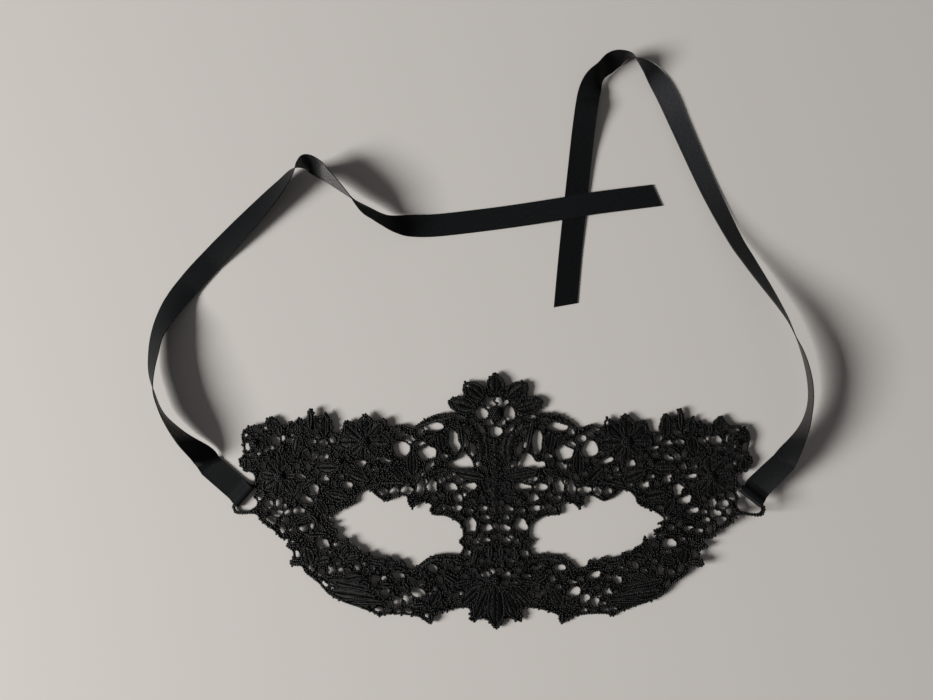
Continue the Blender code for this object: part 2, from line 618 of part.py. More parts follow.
@dataclass(frozen=True)
class Route:
    """Where a ribbon runs: its side of the mask, its direction at the tie bar and the points it passes.

    Each point is x and y from the tie bar's middle and the lower edge's height, in millimetres, and the
    ribbon's roll about its own line in degrees: 0 is flat, 90 stands on its edge, 180 is on its other face.
    The seam, where the folded end is sewn down, has such a height and roll too.
    """

    name: str
    side: int
    leaves_at: float
    seam_lift: float
    seam_roll: float
    points: tuple
    end_slant: float


LEFT_ROUTE = Route("ribbon_left", -1, 140.0, 0.0, 0.0, (
    (-17.0, 17.3, 0.8, 40), (-24.0, 23.7, 1.6, 70), (-29.7, 29.9, 2.2, 90),
    (-34.2, 36.2, 2.5, 104), (-37.2, 43.7, 2.6, 110), (-38.8, 52.2, 2.6, 126),
    (-38.6, 60.7, 2.4, 137), (-37.7, 68.1, 2.0, 143), (-35.3, 75.6, 1.5, 156),
    (-31.8, 82.8, 1.0, 170), (-26.5, 90.5, 0.6, 180), (-17.9, 100.7, 0.5, 180),
    (-7.0, 112.3, 0.8, 169), (5.3, 125.1, 1.0, 154), (14.0, 134.2, 1.6, 136),
    (18.9, 139.7, 2.4, 120), (22.3, 141.9, 3.0, 92), (25.8, 142.4, 3.4, 61),
    (30.6, 139.8, 3.6, 58), (34.2, 136.8, 3.6, 69), (38.6, 133.0, 3.6, 79),
    (44.5, 127.7, 3.5, 94), (51.1, 122.0, 3.2, 119), (55.8, 119.3, 2.6, 124),
    (59.7, 117.7, 2.0, 133), (64.5, 116.7, 1.4, 153), (70.5, 116.5, 1.2, 175),
    (82.7, 117.2, 0.2, 180), (109.2, 120.4, 0.2, 180), (135.6, 124.2, 1.0, 180),
    (149.7, 126.7, 1.0, 180), (178.4, 130.6, 0.2, 180),
), 0.0014)
RIGHT_ROUTE = Route("ribbon_right", 1, 48.0, 3.6, -45.0, (
    (15.5, 19.0, 3.9, -60), (18.2, 23.4, 4.2, -76), (21.1, 28.7, 4.6, -90),
    (23.1, 34.5, 5.0, -100), (24.2, 40.8, 5.4, -104), (24.0, 47.8, 5.8, -105),
    (22.8, 54.9, 6.0, -107), (21.1, 61.1, 6.0, -110), (19.1, 66.6, 5.8, -115),
    (16.4, 73.8, 5.4, -119), (13.2, 80.3, 4.8, -125), (9.7, 86.9, 4.0, -132),
    (6.0, 93.6, 3.2, -138), (2.4, 100.4, 2.2, -143), (-3.1, 111.0, 1.0, -149),
    (-12.4, 132.4, 0.2, -160), (-23.7, 159.7, 0.4, -165), (-29.2, 173.9, 0.5, -171),
    (-33.8, 182.5, 0.5, -166), (-38.5, 188.0, 0.4, -148), (-45.0, 191.8, 0.2, -116),
    (-50.6, 191.0, 0.3, -75), (-55.3, 189.4, 0.4, -53), (-60.0, 184.9, 1.0, -58),
    (-63.6, 179.6, 2.4, -22), (-65.6, 172.2, 3.0, 4), (-67.3, 159.9, 1.4, 5),
    (-69.1, 144.1, 0.5, 2), (-73.5, 106.1, 0.0, 0), (-76.0, 81.6, 0.0, 0),
), -0.0014)
STEPS_PER_STRETCH = 2


def catmull_rom(a: float, b: float, c: float, d: float, t: float) -> float:
    """The value between b and c at the share t."""
    return b + t / 2 * (c - a + t * (2 * a - 5 * b + 4 * c - d + t * (3 * b - a - 3 * c + d)))


def smooth(rows: list[tuple], steps: int) -> list[tuple]:
    """A curve through the rows, each of several numbers."""
    found = []
    for index in range(len(rows) - 1):
        before, here = rows[max(index - 1, 0)], rows[index]
        there, after = rows[index + 1], rows[min(index + 2, len(rows) - 1)]
        for step in range(steps):
            values = zip(before, here, there, after)
            found.append(tuple(catmull_rom(a, b, c, d, step / steps) for a, b, c, d in values))
    return found + [rows[-1]]


def fold_profile(bar_top: float) -> tuple[list[Vector], list[Vector]]:
    """The folded end seen from the ribbon's edge, as distance from the bar and height: outside, then inside.

    The outside runs from the top to the underside of the two layers, where they go on together.
    """
    thick, bevel = RIBBON_THICKNESS, FOLD_BEVEL
    turn = TIE_BAR_WIDTH / 2 + CLEARANCE
    floor, roof = FLOOR_GAP + thick, bar_top + CLEARANCE
    slope = turn + (roof - floor) * FOLD_SLOPE
    end = slope + thick + FOLD_REST
    outside = [
        (end, floor + thick), (slope + thick, floor + thick),
        (turn + bevel + thick / 2, roof + thick), (-turn, roof + thick), (-turn - thick, roof),
        (-turn - thick, floor), (-turn, FLOOR_GAP), (end, FLOOR_GAP),
    ]
    inside = [
        (-turn, floor + bevel), (-turn + bevel, floor), (slope, floor),
        (turn + bevel, roof), (-turn + bevel, roof), (-turn, roof - bevel),
    ]
    return [Vector(p) for p in outside], [Vector(p) for p in inside]


def band_stretch(mesh: bmesh.types.BMesh, a, b, c, d, turned: bool) -> None:
    """Two triangles between four corners. A twisted band's two faces must be cut along the same diagonal."""
    for corners in ((a, b, d), (b, c, d)) if turned else ((a, b, c), (a, c, d)):
        mesh.faces.new(corners)


def stations(rows: list[tuple], thick: float, slant: float) -> list[list[Vector]]:
    """A band's corners at each step after the first row: left low, left high, right high, right low.

    A row is x, y, the lower edge's height and the roll, in metres and radians.
    """
    half = RIBBON_WIDTH / 2
    line = smooth(rows, STEPS_PER_STRETCH)
    found = []
    for index in range(1, len(line)):
        x, y, lift, roll = line[index]
        before, after = line[index - 1], line[min(index + 1, len(line) - 1)]
        way = Vector((after[0] - before[0], after[1] - before[1], 0)).normalized()
        left = Vector((-way.y, way.x, 0))
        height = FLOOR_GAP + max(lift, 0) + half * abs(math.sin(roll)) + thick / 2 * abs(math.cos(roll))
        centre = Vector((x, y, height))
        across = left * math.cos(roll) + Vector((0, 0, math.sin(roll)))
        face = Vector((0, 0, math.cos(roll))) - left * math.sin(roll)
        to_left, to_top = across * half, face * thick / 2
        if index == len(line) - 1:
            to_left += way * slant
        found.append([
            centre + to_left - to_top, centre + to_left + to_top,
            centre - to_left + to_top, centre - to_left - to_top,
        ])
    return found


def band(route: Route, middle: Vector, out: Vector, start: tuple) -> list[list[Vector]]:
    """The corners along the ribbon: the two layers from the fold to the seam, then the single band."""
    thick = RIBBON_THICKNESS
    seam, lift, roll = middle + out * DOUBLED_LENGTH, route.seam_lift * MM, math.radians(route.seam_roll)
    doubled = stations([start, (seam.x, seam.y, lift, roll)], 2 * thick, 0.0)
    low_left, high_left, high_right, low_right = doubled[-1]
    on = out.to_3d() * SEAM_END
    lower_end = [low_left.lerp(high_left, 0.5), high_left, high_right, low_right.lerp(high_right, 0.5)]
    rows = [(seam.x, seam.y, lift + thick * math.cos(roll), roll)]
    for x, y, height, turn in route.points:
        rows.append((middle.x + x * MM, middle.y + y * MM, height * MM, math.radians(turn)))
    return doubled + [[corner + on for corner in lower_end]] + stations(rows, thick, route.end_slant)


def build_ribbon(route: Route) -> bpy.types.Object:
    """A ribbon: its end folded round the tie bar and sewn down, then one band to its cut end."""
    bar = tie_bar()
    middle = Vector((bar.middle.x * route.side, bar.middle.y))
    down = Vector((bar.down.x * route.side, bar.down.y))
    angle = math.radians(route.leaves_at)
    out = Vector((math.cos(angle), math.sin(angle)))
    bar_top = underside(bar.middle, bar) + TIE_BAR_THICKNESS
    outside, inside = fold_profile(bar_top)
    region = Region(outside, [inside])
    sketch = Sketch()
    for loop in (outside, inside):
        first = len(sketch.points)
        sketch.points += loop
        sketch.edges += [(first + i, first + (i + 1) % len(loop)) for i in range(len(loop))]
    flat, faces = triangulate(sketch.points, sketch.edges, region)

    curled = route.side == CURLED_SIDE
    lean = bar_lean(bar) if curled else 0.0
    half = RIBBON_WIDTH / 2 * math.cos(lean)
    lifts = [bar_curl(bar, across) if curled else 0.0 for across in (-half, half)]
    mesh = bmesh.new()
    corners = []
    for across, lift in zip((-half, half), lifts):
        row = []
        for point in flat:
            place = middle + out * point.x + down * across
            row.append(mesh.verts.new((place.x, place.y, point.y + lift)))
        corners.append(row)
        for face in faces:
            mesh.faces.new([row[index] for index in face])
    top, under = 0, len(outside) - 1
    for a, b in rim_edges(faces):
        if {a, b} != {top, under}:
            mesh.faces.new([corners[0][a], corners[0][b], corners[1][b], corners[1][a]])

    side = down.dot(Vector((-out.y, out.x)))
    right, left = corners if side > 0 else reversed(corners)
    ring = [left[under], left[top], right[top], right[under]]
    start = middle + out * outside[top].x
    for corner_points in band(route, middle, out, (start.x, start.y, min(lifts), math.copysign(lean, side))):
        following = [mesh.verts.new(point) for point in corner_points]
        for i in range(4):
            band_stretch(mesh, ring[i], ring[(i + 1) % 4], following[(i + 1) % 4], following[i], i == 3)
        ring = following
    mesh.faces.new(ring)
    bmesh.ops.recalc_face_normals(mesh, faces=mesh.faces)
    return new_object(route.name, mesh, SATIN_COLOUR, SATIN_ROUGHNESS)


def new_object(name: str, mesh: bmesh.types.BMesh, colour: tuple, roughness: float) -> bpy.types.Object:
    """Makes an object of the mesh, with a material of its own."""
    data = bpy.data.meshes.new(name)
    mesh.to_mesh(data)
    mesh.free()
    material = bpy.data.materials.new(name)
    material.use_nodes = True
    shader = material.node_tree.nodes["Principled BSDF"]
    shader.inputs["Base Color"].default_value = (*colour, 1)
    shader.inputs["Roughness"].default_value = roughness
    shader.inputs["Metallic"].default_value = 0.0
    data.materials.append(material)
    made = bpy.data.objects.new(name, data)
    bpy.context.scene.collection.objects.link(made)
    return made


def main() -> None:
    for item in list(bpy.data.objects):
        bpy.data.objects.remove(item, do_unlink=True)
    mask = bpy.data.objects.new("mask", None)
    bpy.context.scene.collection.objects.link(mask)
    for piece in (build_lace(), build_ribbon(LEFT_ROUTE), build_ribbon(RIGHT_ROUTE)):
        piece.parent = mask


if __name__ == "__main__":
    main()
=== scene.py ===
"""The lace masquerade mask as it lies: lace laid stitch by stitch, and satin tie ribbons.

Metres, +Z up. The lace is drawn in millimetres for the side x > 0 and mirrored.
"""

import logging
import math
from dataclasses import dataclass, field
from enum import Enum

import bpy
import numpy as np
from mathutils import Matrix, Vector, kdtree
from mathutils.geometry import delaunay_2d_cdt


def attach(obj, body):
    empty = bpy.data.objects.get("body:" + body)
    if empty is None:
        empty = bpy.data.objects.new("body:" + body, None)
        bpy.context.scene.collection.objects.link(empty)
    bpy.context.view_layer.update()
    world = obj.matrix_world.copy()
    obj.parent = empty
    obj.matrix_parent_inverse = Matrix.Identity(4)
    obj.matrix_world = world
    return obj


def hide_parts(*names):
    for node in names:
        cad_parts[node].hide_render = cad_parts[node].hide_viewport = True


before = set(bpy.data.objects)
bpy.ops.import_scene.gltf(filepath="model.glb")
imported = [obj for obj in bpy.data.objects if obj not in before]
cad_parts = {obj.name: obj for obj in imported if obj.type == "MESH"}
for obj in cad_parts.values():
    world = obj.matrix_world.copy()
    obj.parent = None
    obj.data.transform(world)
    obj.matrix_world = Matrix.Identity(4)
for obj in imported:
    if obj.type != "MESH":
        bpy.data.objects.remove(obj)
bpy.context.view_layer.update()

LOG = logging.getLogger("lace_mask")
MM = 0.001
UP = np.array([0.0, 0.0, 1.0])
BODY = "root"
SAME = 1e-5
RIBBON_MAP = "along_and_across"
BACK_SHIFT = 20.0
# A ring's unevenness: the largest spread that its waves' depths are drawn from, their counts and phase
MOST_RAGGED = 0.24 * MM
RAGGED_WAVES = (2, 3, 5)
WAVE_STARTS = 6.3
# A leaf wider than this keeps openings and filling stitches out
WIDE_LEAF = 2.4 * MM
Colour = tuple[float, float, float]


class Side(Enum):
    """A side of the mask, as the sign of x there."""

    LEFT = -1
    RIGHT = 1

    @classmethod
    def of(cls, x: float) -> "Side":
        """The side that a place lies on; the middle counts as right."""
        return cls.LEFT if x < -SAME else cls.RIGHT


class Lay(Enum):
    """How stitches are laid: width, height, length and pitch in millimetres, and slant in degrees."""

    EDGE = (1.08, 0.95, 1.40, 1.04, 30.0)
    NET = (0.82, 0.85, 1.20, 0.92, 32.0)
    VEIN = (0.66, 0.62, 1.05, 0.74, 30.0)
    PICOT = (1.10, 0.90, 1.30, 2.30, 0.0)
    KNOT_RING = (1.00, 0.90, 1.30, 0.90, 35.0)

    @property
    def size(self) -> tuple[float, float, float]:
        """The stitch's length, width and thickness in metres."""
        return self.value[2] * MM, self.value[0] * MM, self.value[1] * MM

    @property
    def pitch(self) -> float:
        """The distance from one stitch to the next in metres."""
        return self.value[3] * MM

    @property
    def slant(self) -> float:
        """How far a stitch is turned from its row, in radians."""
        return math.radians(self.value[4])


# Worked motifs. A leaf: its foot, its tip and its width
LEAVES = (
    (0.0, 44.6, 0.0, 52.6, 7.0), (5.4, 42.6, 12.6, 48.4, 6.8), (8.4, 38.0, 19.2, 41.0, 6.4),
    (16.0, 33.0, 13.6, 20.2, 2.2), (24.0, 27.8, 22.6, 20.6, 4.4), (26.0, 26.2, 29.8, 24.4, 3.0),
    (35.6, 20.6, 35.2, 9.6, 4.2), (4.6, 9.0, 17.4, 11.2, 3.8), (20.6, 12.2, 26.4, 10.0, 2.8),
    (45.4, 13.2, 39.2, 7.4, 4.4), (63.4, 11.6, 54.4, 8.0, 4.6),
    (66.6, 13.0, 76.4, 13.2, 4.4), (71.8, 2.6, 62.6, 0.6, 4.2), (75.6, 0.0, 71.2, -6.4, 3.4),
    (76.4, 8.4, 81.6, 4.8, 2.2), (86.6, -1.4, 82.2, 4.8, 3.0), (72.8, 26.2, 72.8, 35.4, 3.0),
    (79.0, 29.0, 78.9, 37.6, 2.6), (83.6, 27.4, 83.9, 33.8, 3.0), (91.4, 27.2, 92.0, 31.2, 2.6),
    (95.2, 28.0, 95.9, 33.8, 3.6), (85.0, 18.6, 83.4, 26.8, 4.2), (91.4, 19.0, 90.6, 22.8, 2.4),
    (105.8, 11.4, 105.6, 17.0, 3.4), (78.6, -6.6, 75.2, -9.4, 2.4), (84.0, -9.4, 76.6, -6.2, 3.0),
    (71.0, -14.6, 79.6, -14.8, 2.6), (62.6, -19.0, 65.6, -22.8, 3.0), (80.0, -20.2, 78.2, -27.0, 5.0),
    (82.4, -18.6, 87.0, -19.0, 2.2), (81.4, -25.8, 85.8, -26.0, 2.4), (69.8, -24.6, 75.2, -26.0, 3.4),
    (63.6, -24.6, 57.4, -23.6, 3.0), (53.6, -25.2, 46.6, -26.6, 3.2), (44.4, -28.6, 37.4, -29.4, 2.6),
    (56.4, -31.8, 64.0, -33.2, 3.4), (52.8, -37.0, 70.0, -33.4, 3.6), (50.4, -40.6, 70.0, -37.8, 4.6),
    (47.4, -42.4, 63.4, -42.0, 2.8), (42.6, -35.6, 48.0, -35.4, 2.6), (27.4, -46.6, 27.0, -50.8, 2.6),
    (29.0, -43.0, 34.6, -43.6, 2.4), (23.6, -37.4, 27.6, -44.4, 4.2), (15.6, -35.4, 22.0, -31.2, 2.6),
    (0.0, -35.4, 0.0, -52.4, 6.6), (3.4, -37.4, 8.6, -49.2, 5.0), (6.6, -35.8, 14.4, -43.4, 4.4),
    (9.6, -33.8, 18.6, -35.4, 2.2), (13.6, -26.2, 17.8, -25.2, 1.8), (2.2, -19.6, 2.4, -24.8, 2.6),
    (8.0, -20.2, 9.2, -26.2, 2.2), (38.8, -34.4, 36.4, -37.6, 2.6),
)
# A flower: x, y, its petals' reach and width, and each petal's direction in degrees
FLOWERS = (
    (56.0, 24.0, 10.8, 6.0, (0, 42, 88, 133, 180)), (56.0, 24.0, 7.8, 5.0, (-44, -90, -132)),
    (91.6, 9.4, 8.6, 4.6, (92, 50, 8, -36, -84, -128)), (91.6, 9.4, 6.2, 3.6, (134, 176)),
    (102.6, 23.6, 4.2, 3.0, (30, 90, 150, 210, 270)),
)
PETAL_FOOT = 2.0
# A boss: x, y and radius
BOSSES = (
    (0.0, 36.5, 3.1), (56.0, 24.0, 2.4), (91.6, 9.4, 2.2), (102.6, 23.6, 1.6), (66.4, 15.8, 1.4),
    (0.0, -33.6, 1.6),
)
# A scroll: its width and the points along its ridge
SCROLLS = (
    (2.2, ((18.0, 34.6), (23.6, 33.8), (29.0, 32.2), (33.2, 30.4))),
    (3.6, ((15.6, 31.6), (11.2, 30.2), (7.6, 26.2), (6.0, 21.0), (6.2, 16.6))),
    (1.6, ((4.6, 26.2), (3.6, 21.6), (3.6, 17.0))),
    (4.4, ((0.0, 24.0), (0.0, 17.0), (0.0, 9.0), (0.0, 1.0), (0.0, -6.0))),
    (2.2, ((16.6, -25.4), (21.4, -24.6), (26.4, -25.2), (30.6, -28.0), (32.0, -31.6))),
    (1.6, ((31.0, 12.4), (34.0, 6.6), (40.6, 6.8), (48.6, 6.6), (55.0, 4.8))),
)
# Pin holes too small for the solid: x, y, half length, half width and tilt in degrees
PIN_HOLES = (
    (8.6, -17.9, 1.1, 0.9, 0), (9.3, -29.8, 0.9, 0.8, 0), (5.4, -4.2, 1.5, 1.0, -10),
    (47.0, -32.6, 0.9, 0.7, 0), (52.0, -28.6, 1.0, 0.7, 0), (66.4, -26.0, 1.1, 0.8, 0),
    (72.6, -22.2, 1.0, 0.8, 0), (44.6, -43.4, 1.1, 0.6, 0), (13.0, -32.2, 1.0, 0.8, 0),
    (24.0, -42.8, 1.2, 0.7, -30), (88.0, -5.6, 1.2, 0.8, 0), (21.7, -36.9, 0.7, 0.6, 60),
    (66.6, -19.2, 1.5, 0.7, 10), (36.6, -46.1, 1.3, 0.7, 10), (71.6, -35.0, 1.2, 0.5, 45),
    (17.2, -40.2, 1.4, 0.6, -35), (84.6, 29.6, 1.3, 0.6, -10), (12.0, 47.5, 0.6, 0.6, 0),
    (11.5, 45.0, 0.6, 0.6, 0), (16.7, 41.5, 0.6, 0.6, 0), (17.5, 39.0, 0.6, 0.6, 0),
    (9.6, 32.6, 0.9, 0.5, 40), (12.2, 28.0, 1.3, 0.5, 55), (16.2, 31.7, 0.9, 0.5, 35),
    (22.3, 11.7, 1.2, 0.7, 0), (4.9, 12.6, 0.9, 0.7, 40), (31.2, 10.8, 1.1, 0.6, -50),
    (29.8, 7.2, 0.9, 0.6, 80), (20.0, -3.9, 0.6, 0.7, 0), (24.2, -4.6, 1.0, 0.7, 20),
    (9.4, -1.4, 1.1, 0.5, 60), (13.2, 2.0, 0.9, 0.5, -60), (22.8, 1.4, 0.9, 0.7, 0),
    (6.5, -15.8, 1.2, 0.5, -55), (1.6, -29.9, 1.0, 0.8, 0), (7.7, -32.2, 0.8, 0.7, 0),
    (7.2, -35.0, 1.6, 0.3, 0), (19.2, -27.8, 0.9, 0.6, 0), (22.4, -30.4, 0.7, 0.6, 60),
    (19.9, -38.8, 0.8, 0.7, 45), (14.6, -39.0, 0.8, 0.5, -10), (16.0, -42.9, 0.9, 0.5, -15),
    (30.0, -41.3, 0.9, 0.6, 10), (42.6, 29.1, 1.6, 0.5, -3), (47.0, 22.2, 1.4, 0.5, 35),
    (52.4, 16.5, 0.7, 0.7, 0), (51.6, 9.8, 0.8, 0.5, 10), (37.6, 10.4, 1.2, 0.6, 30),
    (38.4, 16.0, 0.9, 0.6, 30), (47.6, 32.1, 0.6, 0.45, 80), (56.0, 34.0, 0.5, 0.4, 0),
    (48.4, 8.8, 0.9, 0.5, 0), (56.8, 5.6, 1.0, 0.6, 0), (67.4, 21.3, 1.9, 0.4, 18),
    (75.9, 30.8, 0.9, 0.6, 80), (74.6, 20.3, 0.9, 0.5, 20), (71.2, 20.4, 0.6, 0.5, 0),
    (84.6, 13.4, 1.2, 0.8, 70), (63.8, 18.0, 0.9, 0.6, 60), (87.6, 28.6, 0.8, 0.6, 10),
    (81.2, 29.4, 0.5, 0.7, 0), (82.0, 21.2, 0.7, 0.6, 0), (90.5, 25.6, 0.5, 1.0, -10),
    (99.0, 25.4, 0.8, 1.4, 10), (95.3, 21.4, 0.6, 0.7, 0), (93.2, 20.6, 0.5, 0.6, 0),
    (100.6, 19.4, 0.6, 0.9, -15), (97.6, 16.6, 0.9, 0.8, 0), (101.6, 15.2, 0.5, 0.8, -20),
    (86.4, 6.2, 1.7, 0.6, 75), (75.2, -4.4, 0.6, 0.7, 0), (68.6, 6.2, 0.6, 0.8, 0),
    (99.4, 4.9, 0.6, 0.7, 0), (95.4, 1.4, 0.9, 0.6, -30), (89.2, -3.0, 0.6, 0.7, 0),
    (76.4, -21.6, 0.7, 0.6, 0), (70.2, -22.4, 0.8, 0.6, 50), (54.4, -29.6, 0.7, 0.7, 0),
    (47.3, -28.9, 0.5, 0.7, 0), (44.6, -26.8, 0.6, 0.45, 0), (35.6, -33.4, 1.0, 0.8, -40),
    (43.4, -39.9, 0.6, 0.5, 40), (50.2, -38.6, 0.6, 0.6, 0), (45.6, -45.9, 1.3, 0.5, -10),
    (40.8, -46.2, 0.9, 0.4, 0), (55.6, -26.8, 0.7, 0.5, 20),
)
# The rosette's openings round its knob on the side x > 0, and the ones across the middle, as corners
ROSETTE_GAPS = (
    ((0.5, 39.9), (0.5, 42.3), (2.6, 42.0), (5.2, 40.1), (3.0, 39.0)),
    ((3.6, 35.0), (4.0, 37.6), (6.9, 38.3), (8.4, 36.2), (7.3, 33.7), (5.0, 33.9)),
    ((1.0, 31.2), (2.9, 33.6), (4.2, 33.0), (3.2, 31.2)),
)
MIDDLE_GAPS = (
    ((0.0, 29.9), (-1.2, 30.3), (-2.6, 29.4), (-1.6, 27.0),
     (0.0, 26.0), (1.6, 27.0), (2.6, 29.4), (1.2, 30.3)),
    ((0.0, -10.4), (-0.8, -11.4), (0.0, -12.4), (0.8, -11.4)),
)
# The solid's openings that are drawn finer here: x, y and how far round that place, in millimetres
REDRAWN = ((0.0, 36.5, 9.5), (2.5, 28.6, 2.0), (-2.5, 28.6, 2.0))

# Where the lace lifts off the surface on each side: x without its sign, y, how far round and how high
LIFTS = {
    Side.RIGHT: (
        (0.0, 50.0, 16.0, 0.9), (17.0, 42.0, 12.0, 0.8), (54.0, 34.0, 14.0, 0.8), (78.0, 35.0, 14.0, 0.9),
        (106.0, 26.0, 18.0, 1.4), (35.0, 0.0, 10.0, 0.6), (63.0, -16.0, 12.0, 0.6), (12.0, 14.0, 12.0, 0.6),
        (70.0, -40.0, 12.0, 0.8), (0.0, -46.0, 14.0, 1.0),
    ),
    Side.LEFT: (
        (0.0, 50.0, 16.0, 0.9), (17.0, 42.0, 12.0, 0.9), (54.0, 34.0, 16.0, 1.3), (78.0, 35.0, 14.0, 1.3),
        (104.0, 26.0, 16.0, 1.0), (86.0, -14.0, 18.0, 0.9), (40.0, 5.0, 14.0, 1.0), (60.0, -30.0, 24.0, 1.3),
        (12.0, 14.0, 12.0, 0.6), (30.0, -40.0, 14.0, 1.2), (0.0, -46.0, 14.0, 1.0),
    ),
}

# The tie bar, and the corner at x > 0 that curls up: how far, which way, from where and over what reach
BAR_MIDDLE = (106.7, 1.3)
BAR_FACES = math.radians(42)
BAR_HALF = 5.3
BAR_SHOULDER = 1.2
BAR_RISE = 0.35
CURL = 7.0
CURL_FACES = math.radians(-35)
CURL_START = 76.0
CURL_REACH = 18.0
CURL_GATHERS = 1.5


class Bench:
    """A material in the making: adds nodes, each given its settings or the sockets that feed it."""

    BUMP_DEPTH = 0.0001

    def __init__(self, name: str, roughness: float, specular: float) -> None:
        """Starts a material.

        Args:
            name: its name.
            roughness: its roughness, even all over.
            specular: its specular level, even all over.
        """
        self.made = bpy.data.materials.new(name)
        self.made.use_nodes = True
        self.tree = self.made.node_tree
        self.shader = self.tree.nodes["Principled BSDF"]
        self.shader.inputs["Roughness"].default_value = roughness
        self.shader.inputs["Specular IOR Level"].default_value = specular

    def node(self, kind: str, **settings: object) -> bpy.types.Node:
        """Adds a node.

        Args:
            kind: its kind, as Blender calls it after ShaderNode.
            settings: a value or a socket for each input, with _ for a space in its name.

        Returns:
            The node.
        """
        made = self.tree.nodes.new("ShaderNode" + kind)
        for name, value in settings.items():
            self.feed(made.inputs[name.replace("_", " ")], value)
        return made

    def feed(self, socket: bpy.types.NodeSocket, value: object) -> None:
        """Gives an input its value, or links it when the value is a socket.

        Args:
            socket: the input.
            value: its value, or the socket that feeds it.
        """
        if isinstance(value, bpy.types.NodeSocket):
            self.tree.links.new(value, socket)
        else:
            socket.default_value = value

    def ramp(self, share: bpy.types.NodeSocket, ends: tuple, colours: tuple) -> bpy.types.NodeSocket:
        """Adds a colour ramp.

        Args:
            share: what it follows.
            ends: where its first colour ends and where its second one starts.
            colours: its two colours.

        Returns:
            The colour's socket.
        """
        made = self.node("ValToRGB", Fac=share)
        for element, position, colour in zip(made.color_ramp.elements, ends, colours):
            element.position = position
            element.color = (*colour, 1)
        return made.outputs["Color"]

    def colour(self, colour: bpy.types.NodeSocket | tuple) -> None:
        """Gives the surface its colour, or the socket that it comes from."""
        self.feed(self.shader.inputs["Base Color"], colour)

    def bump(self, height: bpy.types.NodeSocket, strength: float) -> None:
        """Gives the surface its fine relief."""
        raised = self.node("Bump", Strength=strength, Distance=self.BUMP_DEPTH, Height=height)
        self.feed(self.shader.inputs["Normal"], raised.outputs["Normal"])


@dataclass(frozen=True)
class Thread:
    """The lace's finish: matt black twisted thread with a faint shine on each turn."""

    colour: Colour = (0.0020, 0.0021, 0.0022)
    worn: Colour = (0.0062, 0.0060, 0.0056)
    roughness: float = 0.42
    specular: float = 0.20
    twist_scale: float = 5200.0
    patch_scale: float = 60.0
    patches_between: tuple[float, float] = (0.35, 0.75)
    bump: float = 0.35

    def material(self) -> bpy.types.Material:
        """Builds the thread's material.

        Returns:
            A material that reads Object coordinates.
        """
        bench = Bench("black_thread", self.roughness, self.specular)
        place = bench.node("TexCoord").outputs["Object"]
        fibre = bench.node("TexNoise", Scale=self.twist_scale, Detail=2.0, Vector=place).outputs["Fac"]
        patches = bench.node("TexNoise", Scale=self.patch_scale, Detail=3.0, Vector=place).outputs["Fac"]
        bench.colour(bench.ramp(patches, self.patches_between, (self.colour, self.worn)))
        bench.bump(fibre, self.bump)
        return bench.made


@dataclass(frozen=True)
class Satin:
    """A ribbon's finish: black satin with fine cross threads, and a painted sheen that greys its front where
    it is seen at a slant.

    Each tone is a dark and a light colour. The weave is how often it turns in a millimetre along and across.
    """

    name: str
    front: tuple[Colour, Colour] = ((0.0048, 0.0054, 0.0060), (0.0120, 0.0128, 0.0138))
    back: tuple[Colour, Colour] = front
    # The painted sheen: greys painted onto the front as it is seen more at a slant, from the first facing
    # below to the second
    painted_sheen: tuple[Colour, Colour] = ((0.020, 0.020, 0.021), (0.140, 0.137, 0.135))
    painted_sheen_from: float = 0.36
    painted_sheen_full: float = 0.52
    weave: tuple[float, float, float] = (5.0, 0.6, 1.0)
    tones_between: tuple[float, float] = (0.30, 0.75)
    painted_sheen_between: tuple[float, float] = (0.36, 0.66)
    roughness: float = 0.50
    specular: float = 0.05
    bump: float = 0.18

    def material(self) -> bpy.types.Material:
        """Builds the satin's material.

        Returns:
            A material that reads the ribbon's own UV map, in millimetres along and across. The back lies
            BACK_SHIFT further across than the front.
        """
        bench = Bench(self.name, self.roughness, self.specular)
        flat = bench.node("UVMap")
        flat.uv_map = RIBBON_MAP
        place = flat.outputs["UV"]
        stretched = bench.node("Mapping", Scale=self.weave, Vector=place).outputs["Vector"]
        weave = bench.node("TexNoise", Scale=1.0, Detail=3.0, Vector=stretched).outputs["Fac"]
        front = bench.ramp(weave, self.tones_between, self.front)
        back = bench.ramp(weave, self.tones_between, self.back)
        painted_sheen = bench.ramp(weave, self.painted_sheen_between, self.painted_sheen)
        # Painted sheen: the front's colour turns to the sheen's greys as the surface is seen more at a slant
        facing = bench.node("LayerWeight", Blend=0.5).outputs["Facing"]
        slant = bench.node("MapRange", From_Min=self.painted_sheen_from, From_Max=self.painted_sheen_full, Value=facing)
        with_painted_sheen = bench.node("MixRGB", Fac=slant.outputs["Result"], Color1=front, Color2=painted_sheen)
        turned = bench.node("Math", Value=bench.node("SeparateXYZ", Vector=place).outputs["Y"])
        turned.operation = "GREATER_THAN"
        turned.inputs[1].default_value = BACK_SHIFT / 2
        mixed = bench.node("MixRGB", Fac=turned.outputs["Value"], Color1=with_painted_sheen.outputs["Color"], Color2=back)
        bench.colour(mixed.outputs["Color"])
        bench.bump(weave, self.bump)
        return bench.made


# The left ribbon's satin, and the right one's: the same satin with painted light, its front painted blacker
# as shade where the light falls on it more fully, its back painted dark grey as a reflection of the bright
# room, and its painted sheen fainter
LEFT_SATIN = Satin("black_satin_left_painted_sheen")
RIGHT_SATIN = Satin(
    "black_satin_right_painted_light",
    # Painted shade: a blacker front
    front=((0.0030, 0.0033, 0.0037), (0.0085, 0.0090, 0.0098)),
    # Painted reflection: a dark grey back
    back=((0.032, 0.034, 0.038), (0.086, 0.089, 0.095)),
    # A fainter painted sheen
    painted_sheen=((0.016, 0.015, 0.015), (0.060, 0.056, 0.054)),
    painted_sheen_from=0.42, painted_sheen_full=0.80,
)


